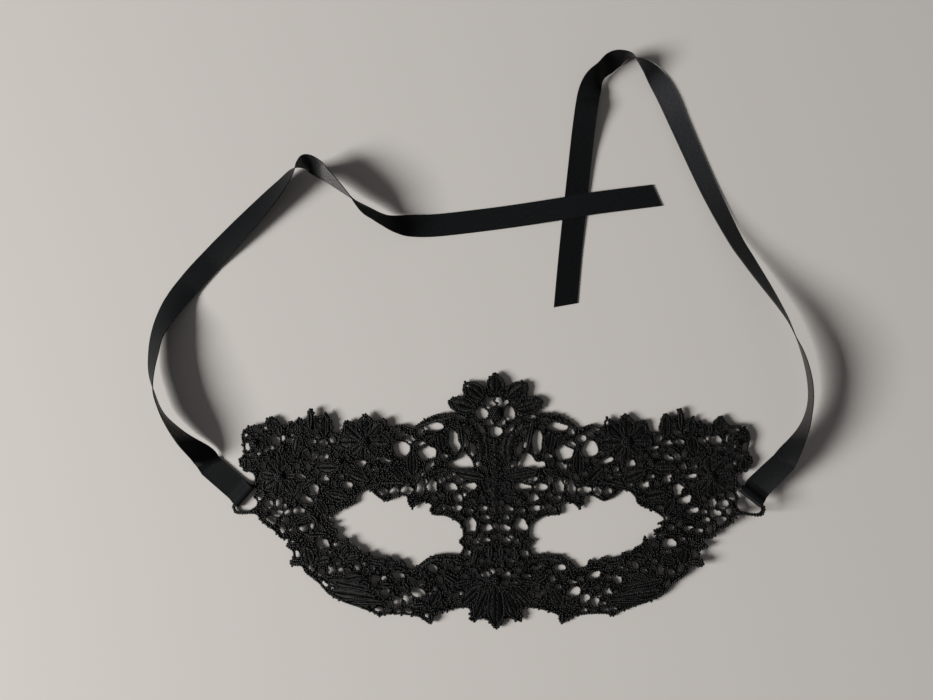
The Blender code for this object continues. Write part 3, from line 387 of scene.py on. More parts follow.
def curl(x: float, y: float) -> float:
    """How far the curled corner is off the surface at a place, all in millimetres."""
    reached = (x * math.cos(CURL_FACES) + y * math.sin(CURL_FACES) - CURL_START) / CURL_REACH
    return CURL * min(max(reached, 0.0), 1.0) ** CURL_GATHERS


def bar_curl(down: float) -> float:
    """The curl at a place along the tie bar, even from end to end.

    Args:
        down: how far the place is from the bar's middle, in millimetres.

    Returns:
        How far it is off the surface, in millimetres.
    """
    ends = []
    for end in (-BAR_HALF, BAR_HALF):
        x = BAR_MIDDLE[0] + math.sin(BAR_FACES) * end
        ends.append(curl(x, BAR_MIDDLE[1] - math.cos(BAR_FACES) * end))
    return ends[0] + (ends[1] - ends[0]) * (1 + down / BAR_HALF) / 2


def lift(x: float, y: float) -> float:
    """How high the lace lies off the surface at a place.

    Args:
        x: the place's x in metres.
        y: the place's y in metres.

    Returns:
        The height in metres.
    """
    side = Side.RIGHT if x > 0 else Side.LEFT
    x, y = x / MM, y / MM
    high = 0.0
    for px, py, reach, rise in LIFTS[side]:
        off = math.hypot(abs(x) - px, y - py) / reach
        high = max(high, rise * math.exp(-off * off))
    if side is Side.RIGHT:
        high = math.hypot(high, curl(x, y))
    off_x, off_y = abs(x) - BAR_MIDDLE[0], y - BAR_MIDDLE[1]
    out = off_x * math.cos(BAR_FACES) + off_y * math.sin(BAR_FACES)
    down = off_x * math.sin(BAR_FACES) - off_y * math.cos(BAR_FACES)
    if abs(out) < BAR_SHOULDER and abs(down) < BAR_HALF + BAR_SHOULDER:
        high = BAR_RISE + (bar_curl(down) if side is Side.RIGHT else 0.0)
    return high * MM


def deselect() -> None:
    """Leaves object mode with nothing selected."""
    if bpy.context.object and bpy.context.object.mode != "OBJECT":
        bpy.ops.object.mode_set(mode="OBJECT")
    bpy.ops.object.select_all(action="DESELECT")


def take(piece: bpy.types.Object) -> None:
    """Selects one piece and nothing else.

    Args:
        piece: the piece.
    """
    deselect()
    bpy.context.view_layer.objects.active = piece
    piece.select_set(True)


def ring_area(ring: np.ndarray) -> float:
    """The signed area of a closed ring of points: above 0 when it runs anticlockwise."""
    after = np.roll(ring, -1, axis=0)
    return float((ring[:, 0] * after[:, 1] - after[:, 0] * ring[:, 1]).sum() / 2)


def anticlockwise(ring: np.ndarray) -> np.ndarray:
    """The ring, turned round if it runs clockwise."""
    return ring if ring_area(ring) > 0 else ring[::-1]


def swung(u: float | np.ndarray, v: float | np.ndarray, angle: float | np.ndarray) -> tuple:
    """A direction, or a list of them, swung anticlockwise by an angle in radians."""
    return u * np.cos(angle) - v * np.sin(angle), u * np.sin(angle) + v * np.cos(angle)


def oval(middle: tuple, long: float, short: float, lean: float) -> np.ndarray:
    """Eight corners round an oval.

    Args:
        middle: its middle.
        long: half its length.
        short: half its width.
        lean: how far it is turned, in radians.

    Returns:
        The corners, anticlockwise.
    """
    turn = np.linspace(0, 2 * math.pi, 8, endpoint=False)
    return np.stack(swung(long * np.cos(turn), short * np.sin(turn), lean), axis=1) + middle


def grid_over(points: np.ndarray, spacing: float) -> np.ndarray:
    """The places of a square grid over the box round some points.

    Args:
        points: the points, one row each.
        spacing: the distance from one place to the next.

    Returns:
        The places, one row each.
    """
    low, high = points.min(axis=0), points.max(axis=0)
    across, up = (np.arange(low[axis], high[axis], spacing) for axis in (0, 1))
    return np.array([(x, y) for x in across for y in up])


def tree_of(points: np.ndarray) -> kdtree.KDTree:
    """The points as a tree that finds the nearest one.

    Args:
        points: the points, one row each.

    Returns:
        The tree.
    """
    tree = kdtree.KDTree(len(points))
    for index, (x, y) in enumerate(points):
        tree.insert((x, y, 0.0), index)
    tree.balance()
    return tree


def smooth_rows(rows: list[tuple], steps: int) -> list[tuple]:
    """A smooth curve through rows of numbers.

    Args:
        rows: the rows it passes.
        steps: how many steps each stretch gets.

    Returns:
        The finer rows, the last one included.
    """
    found = []
    for index in range(len(rows) - 1):
        before, here = rows[max(index - 1, 0)], rows[index]
        there, after = rows[index + 1], rows[min(index + 2, len(rows) - 1)]
        for step in range(steps):
            t = step / steps
            found.append(tuple(
                b + t / 2 * (c - a + t * (2 * a - 5 * b + 4 * c - d + t * (3 * b - a - 3 * c + d)))
                for a, b, c, d in zip(before, here, there, after)))
    return found + [rows[-1]]


def rounded(corners: np.ndarray, step: float) -> np.ndarray:
    """Runs a smooth closed curve through corners and steps evenly along it.

    Args:
        corners: the ring's corners, one row each.
        step: about how far apart the new points are, in metres.

    Returns:
        The evenly stepped points.
    """
    count = len(corners)
    fine = []
    for index in range(count):
        a, b, c, d = (corners[(index + shift) % count] for shift in (-1, 0, 1, 2))
        ta = max(math.sqrt(np.linalg.norm(b - a)), SAME)
        tb = max(math.sqrt(np.linalg.norm(c - b)), SAME)
        tc = max(math.sqrt(np.linalg.norm(d - c)), SAME)
        leaving = (b - a) / ta - (c - a) / (ta + tb) + (c - b) / tb
        coming = (c - b) / tb - (d - b) / (tb + tc) + (d - c) / tc
        steps = max(2, math.ceil(np.linalg.norm(c - b) / step * 2))
        share = (np.arange(steps) / steps)[:, None]
        square, cube = share ** 2, share ** 3
        fine.append((2 * cube - 3 * square + 1) * b + (cube - 2 * square + share) * leaving * tb
                    + (3 * square - 2 * cube) * c + (cube - square) * coming * tb)
    return evenly(np.vstack(fine), step, True)


def evenly(line: np.ndarray, step: float, closed: bool) -> np.ndarray:
    """Points at an even step along a line.

    Args:
        line: the line's points.
        step: about how far apart the new points are, in metres.
        closed: whether the line runs back to its first point.

    Returns:
        The new points, the first one only once.
    """
    if closed:
        line = np.vstack([line, line[:1]])
    gone = np.concatenate([[0], np.cumsum(np.linalg.norm(np.diff(line, axis=0), axis=1))])
    count = max(3 if closed else 1, round(gone[-1] / step))
    at = np.linspace(0, gone[-1], count + 1)
    if closed:
        at = at[:-1]
    return np.stack([np.interp(at, gone, line[:, axis]) for axis in range(line.shape[1])], axis=1)


def directions(ring: np.ndarray) -> np.ndarray:
    """The way that a closed ring runs at each of its points, as unit vectors."""
    way = np.roll(ring, -1, axis=0) - np.roll(ring, 1, axis=0)
    return way / np.maximum(np.linalg.norm(way, axis=1), SAME * MM)[:, None]


def moved_right(ring: np.ndarray, distance: float) -> np.ndarray:
    """The ring moved sideways: to the right of the way it runs, or to the left when distance is below 0."""
    way = directions(ring)
    return ring + np.stack([way[:, 1], -way[:, 0]], axis=1) * np.reshape(distance, (-1, 1))


def ragged(ring: np.ndarray, grown: float, share: float, rng: np.random.Generator) -> np.ndarray:
    """Makes a ring a little wider and uneven, as hand-guided thread leaves it.

    Args:
        ring: the ring's points, anticlockwise.
        grown: how much wider it gets, in metres.
        share: the unevenness, as a share of the ring's mean radius.
        rng: the random numbers.

    Returns:
        The uneven ring.
    """
    depth = min(share * math.sqrt(abs(ring_area(ring)) / math.pi), MOST_RAGGED)
    round_it = np.arange(len(ring)) / len(ring) * 2 * math.pi
    waves = sum(rng.normal(0, depth) * np.sin(count * round_it + rng.uniform(0, WAVE_STARTS))
                for count in RAGGED_WAVES)
    return moved_right(ring, grown + waves)


def inside(ring: np.ndarray, points: np.ndarray) -> np.ndarray:
    """Which points lie inside a closed ring.

    Args:
        ring: the ring's points.
        points: the points to test, one row each.

    Returns:
        One true or false for each point.
    """
    found = np.zeros(len(points), bool)
    low, high = ring.min(axis=0), ring.max(axis=0)
    near = np.where(((points > low) & (points < high)).all(axis=1))[0]
    if not len(near):
        return found
    x, y = points[near, 0], points[near, 1]
    hits = np.zeros(len(near), bool)
    for a, b in zip(ring, np.roll(ring, -1, axis=0)):
        if a[1] == b[1]:
            continue
        spans = (a[1] > y) != (b[1] > y)
        hits ^= spans & (x < a[0] + (b[0] - a[0]) * (y - a[1]) / (b[1] - a[1]))
    found[near] = hits
    return found


@dataclass
class Pattern:
    """The lace's outline and openings, read from the solid, with its pin holes added."""

    node: str = "lace"
    step: float = 0.45 * MM
    grown: float = 0.20 * MM
    uneven: float = 0.13
    gap_spacing: float = 2.7 * MM
    gap_clear: float = 1.9 * MM
    gap_crowding: float = 1.2
    gap_stray: float = 0.3
    gap_lengths: tuple[float, float] = (0.45, 0.95)
    gap_roundness: tuple[float, float] = (0.5, 0.9)
    seed: int = 5
    outline: np.ndarray = field(init=False)
    eyes: list[np.ndarray] = field(init=False)
    openings: list[np.ndarray] = field(init=False)

    eye_area = 400 * MM * MM
    facing_down = -0.5

    def __post_init__(self) -> None:
        """Reads and rounds every ring, anticlockwise."""
        rings = sorted(self.corner_rings(), key=lambda ring: -abs(ring_area(ring)))
        smooth = [rounded(anticlockwise(ring), self.step) for ring in rings]
        self.outline = smooth[0]
        self.eyes = [ring for ring in smooth[1:] if ring_area(ring) > self.eye_area]
        small = [ring for ring in smooth[1:] if ring_area(ring) <= self.eye_area and not self.redrawn(ring)]
        small += self.drawn_gaps() + [ring for side in Side for ring in self.pin_holes(side)]
        rng = np.random.default_rng(self.seed)
        small += self.scattered_gaps(small, rng)
        self.openings = [ragged(ring, self.grown, self.uneven, rng) for ring in small]

    @staticmethod
    def redrawn(ring: np.ndarray) -> bool:
        """Whether one of the solid's openings is drawn finer here."""
        x, y = ring.mean(axis=0) / MM
        return any(math.hypot(x - px, y - py) < reach for px, py, reach in REDRAWN)

    def drawn_gaps(self) -> list[np.ndarray]:
        """The rosette's openings and the ones across the middle.

        Returns:
            The openings as anticlockwise rings.
        """
        rings = [np.array(corners) for corners in ROSETTE_GAPS + MIDDLE_GAPS]
        rings += [np.array(corners) * np.array([-1.0, 1.0]) for corners in ROSETTE_GAPS]
        return [rounded(anticlockwise(ring) * MM, self.step) for ring in rings]

    def scattered_gaps(self, there: list[np.ndarray], rng: np.random.Generator) -> list[np.ndarray]:
        """Small openings over what is left of the ground between the motifs.

        Args:
            there: the small openings that are there already.
            rng: the random numbers.

        Returns:
            The new openings as anticlockwise rings.
        """
        tree = tree_of(np.vstack([self.outline, *self.eyes, *there]))
        spots = grid_over(self.outline, self.gap_spacing)
        spots += rng.uniform(-self.gap_stray, self.gap_stray, spots.shape) * self.gap_spacing
        leaves = wide_leaves()
        rings = []
        kept = []
        for spot in spots[inside(self.outline, spots)]:
            open_there = any(inside(ring, spot[None])[0] for ring in self.eyes + there)
            apart = self.gap_crowding * self.gap_clear
            crowded = any(np.linalg.norm(spot - other) < apart for other in kept)
            if open_there or crowded or tree.find((*spot, 0.0))[2] < self.gap_clear:
                continue
            if any(leaf.covers(Vector(spot)) for leaf in leaves):
                continue
            long = rng.uniform(*self.gap_lengths) * MM
            short = long * rng.uniform(*self.gap_roundness)
            kept.append(spot)
            rings.append(rounded(oval(spot, long, short, rng.uniform(0, math.pi)), self.step))
        return rings

    def corner_rings(self) -> list[np.ndarray]:
        """The solid's rings of corners, seen from above.

        Returns:
            One array of x and y for each ring.
        """
        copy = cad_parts[self.node].copy()
        copy.data = copy.data.copy()
        bpy.context.scene.collection.objects.link(copy)
        copy.hide_viewport = False
        take(copy)
        bpy.ops.object.mode_set(mode="EDIT")
        bpy.ops.mesh.select_mode(type="FACE")
        bpy.ops.mesh.select_all(action="SELECT")
        bpy.ops.mesh.remove_doubles(threshold=SAME)
        bpy.ops.mesh.select_all(action="DESELECT")
        bpy.ops.object.mode_set(mode="OBJECT")
        for face in copy.data.polygons:
            face.select = face.normal.z > self.facing_down
        bpy.ops.object.mode_set(mode="EDIT")
        bpy.ops.mesh.delete(type="FACE")
        bpy.ops.mesh.select_all(action="SELECT")
        bpy.ops.mesh.region_to_loop()
        bpy.ops.mesh.select_all(action="INVERT")
        bpy.ops.mesh.delete(type="EDGE")
        bpy.ops.object.mode_set(mode="OBJECT")
        bpy.ops.object.convert(target="CURVE")
        rings = [np.array([point.co[:2] for point in spline.points]) for spline in copy.data.splines]
        bpy.data.objects.remove(copy)
        return [ring for ring in rings if len(ring) > 2]

    def pin_holes(self, side: Side) -> list[np.ndarray]:
        """The small openings of one side.

        Args:
            side: the side.

        Returns:
            The openings as anticlockwise rings.
        """
        rings = [oval((x, y), long, short, math.radians(tilt)) for x, y, long, short, tilt in PIN_HOLES]
        mirrored = [ring * np.array([side.value, 1.0]) for ring in rings]
        return [rounded(anticlockwise(ring) * MM, self.step) for ring in mirrored]

    def holds(self, points: np.ndarray) -> np.ndarray:
        """Which points lie on the lace and in no opening.

        Args:
            points: the points to test, one row each.

        Returns:
            One true or false for each point.
        """
        found = inside(self.outline, points)
        for ring in self.eyes + self.openings:
            found &= ~inside(ring, points)
        return found


@dataclass
class StitchBook:
    """Stitches that become one piece: each is a copy of one grain of thread, laid at its place."""

    name: str
    round_sides: int = 6
    rings: int = 4
    rows: list[tuple] = field(default_factory=list)
    rng: np.random.Generator = field(default_factory=lambda: np.random.default_rng(7))

    wobble = 0.11
    shake = 0.18
    most = 2.0
    shoulders = (0.2, 0.45)
    shoulder_width = 1.18

    def lay(
        self, spot: tuple, high: float, way: tuple, size: tuple, rise: float = 0.0, over: tuple | None = None,
    ) -> None:
        """Lays one stitch.

        Args:
            spot: the x and y of its middle.
            high: its middle's height over the surface of the lace's ground, in metres.
            way: the x and y of the way it runs, of any length.
            size: its length, width and thickness in metres.
            rise: how far it rises along its way, to the way's own scale.
            over: the x and y of the place whose lift it gets, when that isn't its own.
        """
        x, y = spot
        lifted = high + lift(*(spot if over is None else over))
        self.rows.append((x, y, lifted, way[0], way[1], rise, *size))

    def rope(self, ring: np.ndarray, lay: Lay, height: float) -> None:
        """Lays one row of slanted stitches round a ring.

        Args:
            ring: the ring's points.
            lay: how the stitches are laid.
            height: the row's middle height over the surface in metres.
        """
        points = evenly(ring, lay.pitch, True)
        for spot, way in zip(points, directions(points)):
            self.lay(spot, height, swung(*way, lay.slant), lay.size)

    def grain(self) -> tuple[np.ndarray, list]:
        """Models one grain of thread, a unit long, wide and high, along x.

        Returns:
            Its points, and its faces as lists of point numbers.
        """
        deselect()
        bpy.ops.mesh.primitive_uv_sphere_add(
            segments=self.round_sides, ring_count=self.rings, radius=0.5, rotation=(0, math.pi / 2, 0))
        made = bpy.context.object
        bpy.ops.object.transform_apply(location=False, rotation=True, scale=False)
        bpy.ops.object.mode_set(mode="EDIT")
        bpy.ops.mesh.select_mode(type="VERT")
        bpy.ops.mesh.select_all(action="DESELECT")
        bpy.ops.object.mode_set(mode="OBJECT")
        inner, outer = self.shoulders
        for point in made.data.vertices:
            point.select = inner < abs(point.co.x) < outer
        bpy.ops.object.mode_set(mode="EDIT")
        bpy.ops.transform.resize(value=(1.0, self.shoulder_width, self.shoulder_width))
        bpy.ops.object.mode_set(mode="OBJECT")
        points = np.array([point.co[:] for point in made.data.vertices])
        faces = [list(face.vertices) for face in made.data.polygons]
        bpy.data.objects.remove(made)
        return points, faces

    def piece(self, finish: bpy.types.Material) -> bpy.types.Object:
        """Makes the piece of all stitches.

        Args:
            finish: the thread's material.

        Returns:
            The finished piece, which stands for the lace solid.
        """
        grain, faces = self.grain()
        rows = np.array(self.rows)
        grown = self.rng.standard_normal((len(rows), 3)).clip(-self.most, self.most)
        rows[:, 6:] *= 1 + self.wobble * grown
        turn = self.shake * self.rng.standard_normal(len(rows)).clip(-self.most, self.most)
        rows[:, 3], rows[:, 4] = swung(rows[:, 3].copy(), rows[:, 4].copy(), turn)
        middle, along = rows[:, None, 0:3], rows[:, 3:6]
        along = along / np.linalg.norm(along, axis=1)[:, None]
        across = np.cross(UP, along)
        across /= np.linalg.norm(across, axis=1)[:, None]
        up = np.cross(along, across)
        points = middle.copy()
        for axis, way in enumerate((along, across, up)):
            points = points + grain[None, :, axis, None] * (way * rows[:, 6 + axis, None])[:, None, :]
        LOG.info("%s: %d stitches", self.name, len(rows))
        return thread_piece(self.name, points.reshape(-1, 3), repeated(faces, len(grain), len(rows)), finish)


def side_books(name: str, *grain: int) -> dict[Side, StitchBook]:
    """A book of stitches for each side."""
    return {side: StitchBook(f"{name}_{side.name.lower()}", *grain) for side in Side}


def repeated(faces: list, points: int, copies: int) -> list[np.ndarray]:
    """The faces of many copies of a shape.

    Args:
        faces: one copy's faces.
        points: how many points one copy has.
        copies: how many copies there are.

    Returns:
        One array for each number of corners.
    """
    found = []
    for corners in sorted({len(face) for face in faces}):
        block = np.array([face for face in faces if len(face) == corners])
        shifts = (np.arange(copies) * points)[:, None, None]
        found.append((block[None] + shifts).reshape(-1, corners))
    return found


def thread_piece(
    name: str, points: np.ndarray, faces: list[np.ndarray], finish: bpy.types.Material,
) -> bpy.types.Object:
    """Makes a mesh piece of the lace.

    Args:
        name: the piece's name.
        points: its points, one row each.
        faces: arrays of faces, each with its own number of corners.
        finish: its material.

    Returns:
        The piece, smooth, on the body and in place of the lace solid.
    """
    data = bpy.data.meshes.new(name)
    loops = np.concatenate([block.reshape(-1) for block in faces])
    totals = np.concatenate([np.full(len(block), block.shape[1]) for block in faces])
    data.vertices.add(len(points))
    data.vertices.foreach_set("co", points.reshape(-1))
    data.loops.add(len(loops))
    data.loops.foreach_set("vertex_index", loops)
    data.polygons.add(len(totals))
    data.polygons.foreach_set("loop_start", np.concatenate([[0], np.cumsum(totals)[:-1]]))
    data.update(calc_edges=True)
    data.validate()
    data.shade_smooth()
    data.materials.append(finish)
    made = bpy.data.objects.new(name, data)
    bpy.context.scene.collection.objects.link(made)
    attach(made, BODY)
    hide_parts("lace")
    LOG.info("%s: %d faces", name, len(totals))
    return made


@dataclass
class Net:
    """The flat ground that carries the stitches, open where the lace is open."""

    pattern: Pattern
    finish: bpy.types.Material
    low: float = 0.35 * MM
    thickness: float = 0.60 * MM
    inset: float = 0.35 * MM
    coarse: float = 0.9 * MM
    grid: float = 3.0 * MM
    exact: float = 1e-7

    def build(self) -> bpy.types.Object:
        """Cuts the ground out, thickens it and lays it.

        Returns:
            The ground's piece.
        """
        edge = moved_right(rounded(self.pattern.outline[::2], self.coarse), -self.inset)
        holes = [moved_right(rounded(ring[::2], self.coarse), self.inset)
                 for ring in self.pattern.eyes + self.pattern.openings]
        points, edges = [], []
        for ring in [edge, *holes]:
            first = len(points)
            points += [Vector(point) for point in ring]
            edges += [(first + i, first + (i + 1) % len(ring)) for i in range(len(ring))]
        free = grid_over(edge, self.grid)
        points += [Vector(point) for point in free[self.pattern.holds(free)]]
        flat, _, faces, _, _, _ = delaunay_2d_cdt(points, edges, [], 0, self.exact)
        flat, faces = np.array([point[:] for point in flat]), np.array(faces)
        middles = flat[faces].mean(axis=1)
        kept = inside(edge, middles)
        for ring in holes:
            kept &= ~inside(ring, middles)
        faces = faces[kept]
        a, b, c = (flat[faces[:, i]] for i in range(3))
        turn = (b[:, 0] - a[:, 0]) * (c[:, 1] - a[:, 1]) - (b[:, 1] - a[:, 1]) * (c[:, 0] - a[:, 0])
        faces[turn < 0] = faces[turn < 0][:, ::-1]
        height = np.array([self.low + lift(x, y) for x, y in flat])
        made = thread_piece("lace_net", np.column_stack([flat, height]), [faces], self.finish)
        take(made)
        bpy.ops.object.mode_set(mode="EDIT")
        bpy.ops.mesh.select_all(action="SELECT")
        bpy.ops.mesh.delete_loose()
        bpy.ops.object.mode_set(mode="OBJECT")
        solid = made.modifiers.new("Thickness", "SOLIDIFY")
        solid.thickness = self.thickness
        solid.offset = 1.0
        bpy.ops.object.modifier_apply(modifier=solid.name)
        return made


@dataclass
class Cording:
    """The corded rim round every opening and along the outline."""

    pattern: Pattern
    finish: bpy.types.Material
    edge_inset: float = 0.48 * MM
    net_inset: float = 0.36 * MM
    middle: float = 1.05 * MM
    picot_inset: float = 0.10 * MM
    stray: float = 0.30 * MM
    left_out: float = 0.50
    bar_clear: float = 9.5
    rng: np.random.Generator = field(default_factory=lambda: np.random.default_rng(3))

    def picots(self, book: StitchBook, ring: np.ndarray) -> None:
        """Lays small knots that stand out past a row, here and there, but not at the ribbons.

        Args:
            book: the stitches' book.
            ring: the points that the knots' middles lie on.
        """
        points = evenly(ring, Lay.PICOT.pitch, True)
        for x, y in points + self.rng.uniform(-self.stray, self.stray, points.shape):
            angle = self.rng.uniform(0, math.pi)
            near_bar = math.hypot(abs(x) / MM - BAR_MIDDLE[0], y / MM - BAR_MIDDLE[1]) < self.bar_clear
            if near_bar or self.rng.random() < self.left_out:
                continue
            book.lay((x, y), self.middle, (math.cos(angle), math.sin(angle)), Lay.PICOT.size)

    def build(self) -> list[bpy.types.Object]:
        """Lays every rim.

        Returns:
            One piece for the outline and the eyes, and one for each side.
        """
        bold = StitchBook("lace_outer_cord")
        bold.rope(moved_right(self.pattern.outline, -self.edge_inset), Lay.EDGE, self.middle)
        self.picots(bold, moved_right(self.pattern.outline, -self.picot_inset))
        for ring in self.pattern.eyes:
            bold.rope(moved_right(ring, self.edge_inset), Lay.EDGE, self.middle)
            self.picots(bold, moved_right(ring, self.picot_inset))
        books = side_books("lace_net_cord")
        for ring in self.pattern.openings:
            books[Side.of(ring[:, 0].mean())].rope(moved_right(ring, self.net_inset), Lay.NET, self.middle)
        return [book.piece(self.finish) for book in (bold, *books.values())]


@dataclass(frozen=True)
class Leaf:
    """A leaf or petal in satin stitch, in metres."""

    foot: Vector
    tip: Vector
    width: float

    foot_share = 0.35
    foot_round = 0.6
    tip_share = 0.3
    tip_round = 0.7

    @property
    def length(self) -> float:
        """From foot to tip."""
        return (self.tip - self.foot).length

    @property
    def way(self) -> Vector:
        """The way from foot to tip."""
        return (self.tip - self.foot).normalized()

    @property
    def across(self) -> Vector:
        """Square to the way, to its left."""
        return Vector((-self.way.y, self.way.x))

    def half(self, share: float) -> float:
        """Half the leaf's width at a share of its length."""
        near_foot = (share / self.foot_share) ** self.foot_round
        return self.width / 2 * min(1.0, near_foot, ((1 - share) / self.tip_share) ** self.tip_round)

    def at(self, share: float, off: float) -> Vector:
        """The place at a share of its length, and off to the left by a share of half its width there."""
        return self.foot + self.way * self.length * share + self.across * self.half(share) * off

    def covers(self, point: Vector) -> bool:
        """Whether the leaf lies over a point.

        Args:
            point: the point.

        Returns:
            True when it does.
        """
        off = point - self.foot
        share = off.dot(self.way) / self.length
        return 0 < share < 1 and abs(off.dot(self.across)) < self.half(share)


def all_leaves() -> list[Leaf]:
    """Draws every leaf and petal.

    Returns:
        The leaves and petals of both sides.
    """
    drawn = [(Vector((x, y)) * MM, Vector((u, v)) * MM, w * MM) for x, y, u, v, w in LEAVES]
    for x, y, reach, width, ways in FLOWERS:
        for degrees in ways:
            way = Vector((math.cos(math.radians(degrees)), math.sin(math.radians(degrees))))
            middle = Vector((x, y))
            drawn.append(((middle + way * PETAL_FOOT) * MM, (middle + way * reach) * MM, width * MM))
    found = []
    for foot, tip, width in drawn:
        found.append(Leaf(foot, tip, width))
        if foot.x > SAME or tip.x > SAME:
            found.append(Leaf(Vector((-foot.x, foot.y)), Vector((-tip.x, tip.y)), width))
    return found


def wide_leaves() -> list[Leaf]:
    """The leaves and petals that no opening or filling stitch lies in."""
    return [leaf for leaf in all_leaves() if leaf.width > WIDE_LEAF]


def all_scrolls() -> list[tuple[float, np.ndarray]]:
    """Draws every scroll.

    Returns:
        Each scroll of both sides: its width and the points along its ridge, in metres.
    """
    found = []
    for width, points in SCROLLS:
        line = np.array(points) * MM
        found.append((width * MM, line))
        if np.abs(line[:, 0]).max() > SAME:
            found.append((width * MM, line * np.array([-1.0, 1.0])))
    return found


@dataclass
class Foliage:
    """The leaves, petals and scrolls in raised satin stitch."""

    finish: bpy.types.Material
    pitch: float = 0.50 * MM
    stitch_width: float = 0.64 * MM
    stitch_height: float = 0.42 * MM
    forward: float = math.radians(38)
    fanned: float = 0.5
    edge_height: float = 1.15 * MM
    rise: float = 0.30 * MM
    outlined_from: float = 2.7 * MM
    tip_drop: float = 0.3
    side_drop: float = 0.15
    sunk: float = 0.25 * MM
    filled: float = 0.86
    overlap: float = 1.12
    vein_half: float = 0.12 * MM
    outline_rise: float = 0.15 * MM
    outline_ends: tuple[float, float] = (0.02, 0.98)
    outline_points: int = 14
    braid_pitch: float = 0.80 * MM
    braid_length: float = 1.25 * MM
    braid_width: float = 0.70 * MM
    braid_shift: float = 0.2
    braid_last: float = 0.99
    braid_off: float = 0.5
    braid_rise: float = 0.6
    raised_height: float = 0.85 * MM
    scroll_middle: float = 1.10 * MM
    scroll_slant: float = math.radians(68)
    scroll_end: float = 0.45
    scroll_swell: float = 2.2
    scroll_overlap: float = 1.08
    scroll_steps: int = 8

    def leaf(self, book: StitchBook, leaf: Leaf) -> None:
        """Lays one leaf: a narrow one is a braid, a wide one two fans of stitches with a fine cord round it.

        Args:
            book: the stitches' book.
            leaf: the leaf.
        """
        if leaf.width < self.outlined_from:
            self.braid(book, leaf)
            return
        count = max(4, round(leaf.length / self.pitch))
        for index in range(count):
            share = (index + 0.5) / count
            half = leaf.half(share) * self.filled
            high = self.edge_height + self.rise * (1 - self.tip_drop * share) - self.sunk
            for hand in (1, -1):
                inner = leaf.at(share, 0) + leaf.across * hand * self.vein_half
                outer = inner + leaf.across * hand * half
                outer += leaf.way * half * math.tan(self.forward) * self.fanned
                along = outer - inner
                book.lay((inner + outer) / 2, high, along,
                         (along.length * self.overlap, self.stitch_width, self.stitch_height),
                         -self.side_drop * along.length)
        self.outline(book, leaf)

    def braid(self, book: StitchBook, leaf: Leaf) -> None:
        """Lays a narrow leaf as two rows of short stitches that lean together.

        Args:
            book: the stitches' book.
            leaf: the leaf.
        """
        count = max(3, round(leaf.length / self.braid_pitch))
        high = self.edge_height + self.rise * self.braid_rise
        for index in range(count):
            for hand in (1, -1):
                share = min((index + 0.5 + self.braid_shift * hand) / count, self.braid_last)
                along = leaf.way * math.cos(self.forward) + leaf.across * hand * math.sin(self.forward)
                size = (self.braid_length, max(leaf.half(share), self.braid_width), self.raised_height)
                book.lay(leaf.at(share, hand * self.braid_off), high, along, size)

    def outline(self, book: StitchBook, leaf: Leaf) -> None:
        """Lays a fine cord round a leaf.

        Args:
            book: the stitches' book.
            leaf: the leaf.
        """
        shares = np.linspace(*self.outline_ends, self.outline_points)
        rim = [leaf.at(share, -1) for share in shares] + [leaf.at(share, 1) for share in shares[::-1]]
        book.rope(np.array([spot[:] for spot in rim]), Lay.VEIN, self.edge_height + self.outline_rise)

    def scroll(self, book: StitchBook, width: float, line: np.ndarray) -> None:
        """Lays one scroll: stitches across a raised band, each slanted a little.

        Args:
            book: the stitches' book.
            width: the band's width in metres.
            line: the points along its ridge.
        """
        points = evenly(np.array(smooth_rows(line, self.scroll_steps)), self.pitch, False)
        ways = np.gradient(points, axis=0)
        for index, (spot, way) in enumerate(zip(points, ways)):
            share = (index + 0.5) / len(points)
            wide = width * min(1.0, self.scroll_end + self.scroll_swell * min(share, 1 - share))
            book.lay(spot, self.scroll_middle, swung(*way, self.scroll_slant),
                     (wide * self.scroll_overlap, self.stitch_width, self.raised_height))

    def build(self) -> list[bpy.types.Object]:
        """Lays every leaf and every scroll.

        Returns:
            One piece of leaves for each side, and one of scrolls.
        """
        leaves = side_books("lace_leaves")
        for leaf in all_leaves():
            self.leaf(leaves[Side.of(leaf.foot.x + leaf.tip.x)], leaf)
        scrolls = StitchBook("lace_scrolls")
        for width, line in all_scrolls():
            self.scroll(scrolls, width, line)
        return [book.piece(self.finish) for book in [*leaves.values(), scrolls]]


@dataclass
class Bosses:
    """The round knobs: coils of cord, each turn higher than the one outside it."""

    finish: bpy.types.Material
    turn_gap: float = 0.85 * MM
    base: float = 1.15 * MM
    rise: float = 1.1 * MM

    def build(self) -> bpy.types.Object:
        """Winds every knob.

        Returns:
            The knobs' piece.
        """
        book = StitchBook("lace_knobs")
        for x, y, radius in BOSSES:
            for side in Side:
                if x > 0 or side is Side.RIGHT:
                    self.knob(book, side.value * x * MM, y * MM, radius * MM)
        return book.piece(self.finish)

    def knob(self, book: StitchBook, x: float, y: float, radius: float) -> None:
        """Winds one knob.

        Args:
            book: the stitches' book.
            x: its middle's x in metres.
            y: its middle's y in metres.
            radius: its radius in metres.
        """
        lay = Lay.KNOT_RING
        long, wide, thick = lay.size
        ring = radius - wide / 2
        while ring > self.turn_gap / 3:
            count = max(3, round(2 * math.pi * ring / lay.pitch))
            high = self.base + self.rise * (1 - (ring / radius) ** 2)
            for angle in np.linspace(0, 2 * math.pi, count, endpoint=False):
                lean = angle + math.pi / 2 + lay.slant
                spot = (x + ring * math.cos(angle), y + ring * math.sin(angle))
                book.lay(spot, high, (math.cos(lean), math.sin(lean)), lay.size, over=(x, y))
            ring -= self.turn_gap
        book.lay((x, y), self.base + self.rise, (1.0, 0.0), (long, long, thick))


